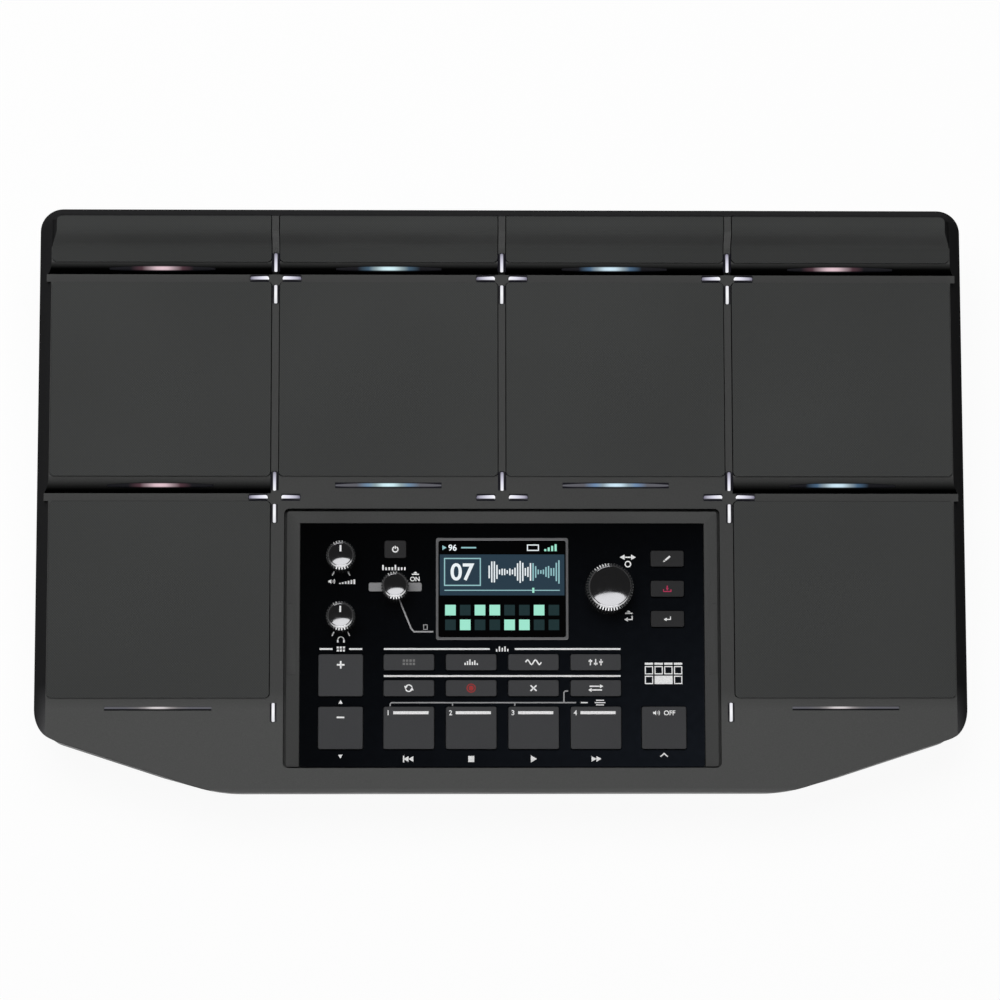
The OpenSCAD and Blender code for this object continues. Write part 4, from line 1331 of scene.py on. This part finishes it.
SOUND_X = -17.2
SOUND_Y = 7.4
marks[screen_pale].frame(SOUND_X, SOUND_Y, 16.0, 12.2, 0.5)
marks[screen_white].text("07", SOUND_X, SOUND_Y, 7.6)
WAVE_START = -5.6
WAVE_PITCH = 1.12
WAVE_BARS = 28
PLAYED = 17
for number in range(WAVE_BARS):
    height = 1.2 + 9.0 * abs(math.sin(0.62 * number + 0.5) * math.cos(0.23 * number))
    light = screen_white if number < PLAYED else screen_pale
    marks[light].box(WAVE_START + number * WAVE_PITCH, SOUND_Y, 0.6, height)
TIME_LINE = -0.6
marks[screen_pale].box(0, TIME_LINE, 50.0, 0.4)
marks[screen_mint].box(13.5, TIME_LINE, 0.9, 2.2)

STEPS = 8
STEP_PITCH = 6.4
STEP_SIZE = 4.6
STEP_FRONT = -15.6
LIT_STEPS = {(0, 1), (2, 1), (3, 1), (6, 1), (1, 0), (4, 0), (5, 0)}
for step in range(STEPS):
    for row in range(2):
        light = screen_mint if (step, row) in LIT_STEPS else screen_dim
        x = (step - (STEPS - 1) / 2) * STEP_PITCH
        marks[light].box(x, STEP_FRONT + row * STEP_PITCH, STEP_SIZE, STEP_SIZE)
for light, ink in marks.items():
    ink.finish(light.name + "_marks", light, "screen_glass")

# Camera at the photograph's viewing angle

camera_data = bpy.data.cameras.new("camera")
camera_data.sensor_width = 36
camera_data.lens = 123.974
camera_data.clip_start = 0.05
camera = bpy.data.objects.new("camera", camera_data)
bpy.context.collection.objects.link(camera)
elevation = math.radians(78.127)
azimuth = math.radians(-5.311)
roll = math.radians(5.239)
distance = 1.494731
aim = Vector((-0.000908, -0.002643, 0.045042))
level = math.cos(elevation)
away = Vector((math.sin(azimuth) * level, -math.cos(azimuth) * level, math.sin(elevation)))
camera.matrix_world = (
    Matrix.Translation(aim + away * distance)
    @ away.to_track_quat("Z", "Y").to_matrix().to_4x4()
    @ Matrix.Rotation(roll, 4, "Z")
)
bpy.context.scene.camera = camera

# Floor, lights and surroundings


def area_light(name, place, size, size_y, watts, shape="RECTANGLE"):
    """A soft lamp that faces the point that the camera aims at."""
    data = bpy.data.lights.new(name, "AREA")
    data.shape = shape
    data.size = size
    data.size_y = size_y
    data.energy = watts
    light = bpy.data.objects.new(name, data)
    bpy.context.collection.objects.link(light)
    light.location = place
    light.rotation_euler = (Vector(place) - aim).to_track_quat("Z", "Y").to_euler()
    light.visible_camera = False
    return light


overhead = area_light("overhead", (-0.2, 0.5, 1.42), 1.4, 1.0, 21)
overhead.visible_glossy = False
softbox = area_light("softbox", (0.06, -0.85, 1.2), 2.3, 0.88, 5.6, "ELLIPSE")
softbox.visible_diffuse = False
area_light("front_card", (0, -2.2, 0.5), 2.4, 0.8, 13)
area_light("back_card", (-0.6, 2.2, 0.6), 1.6, 0.5, 4)

FLOOR = 8
floor_corners = [(-FLOOR, -FLOOR, 0), (FLOOR, -FLOOR, 0), (FLOOR, FLOOR, 0), (-FLOOR, FLOOR, 0)]
floor_mesh = bpy.data.meshes.new("floor")
floor_mesh.from_pydata(floor_corners, [], [(0, 1, 2, 3)])
floor = bpy.data.objects.new("floor", floor_mesh)
bpy.context.collection.objects.link(floor)
paint = new_material("floor_paint", (0.35, 0.35, 0.35), 0.9)
floor_mesh.materials.append(paint)

# The floor shows a pale backdrop to the eye and in reflections, and a duller paint to the part

SHADOW_SHARE = 0.06
rays = add_node(paint, "ShaderNodeLightPath").outputs
seen = math_node(paint, "MAXIMUM", rays["Is Camera Ray"], rays["Is Glossy Ray"])
seen = math_node(paint, "MAXIMUM", seen, rays["Is Transmission Ray"])
glow = add_node(paint, "ShaderNodeEmission", {"Color": (1, 1, 1, 1), "Strength": 1.0}).outputs[0]
pale_paint = add_node(paint, "ShaderNodeBsdfDiffuse", {"Color": (0.95, 0.95, 0.95, 1)}).outputs[0]
backdrop = add_node(paint, "ShaderNodeMixShader", {0: SHADOW_SHARE, 1: glow, 2: pale_paint}).outputs[0]
dull = surface_of(paint).outputs[0]
mixed = add_node(paint, "ShaderNodeMixShader", {0: seen, 1: dull, 2: backdrop}).outputs[0]
surface_out = paint.node_tree.nodes["Material Output"].inputs["Surface"]
paint.node_tree.links.new(mixed, surface_out)

studio = bpy.data.worlds.new("studio")
bpy.context.scene.world = studio
studio.use_nodes = True
studio.node_tree.nodes["Background"].inputs["Color"].default_value = (0.02, 0.02, 0.02, 1)
bpy.context.scene.view_settings.view_transform = "Standard"
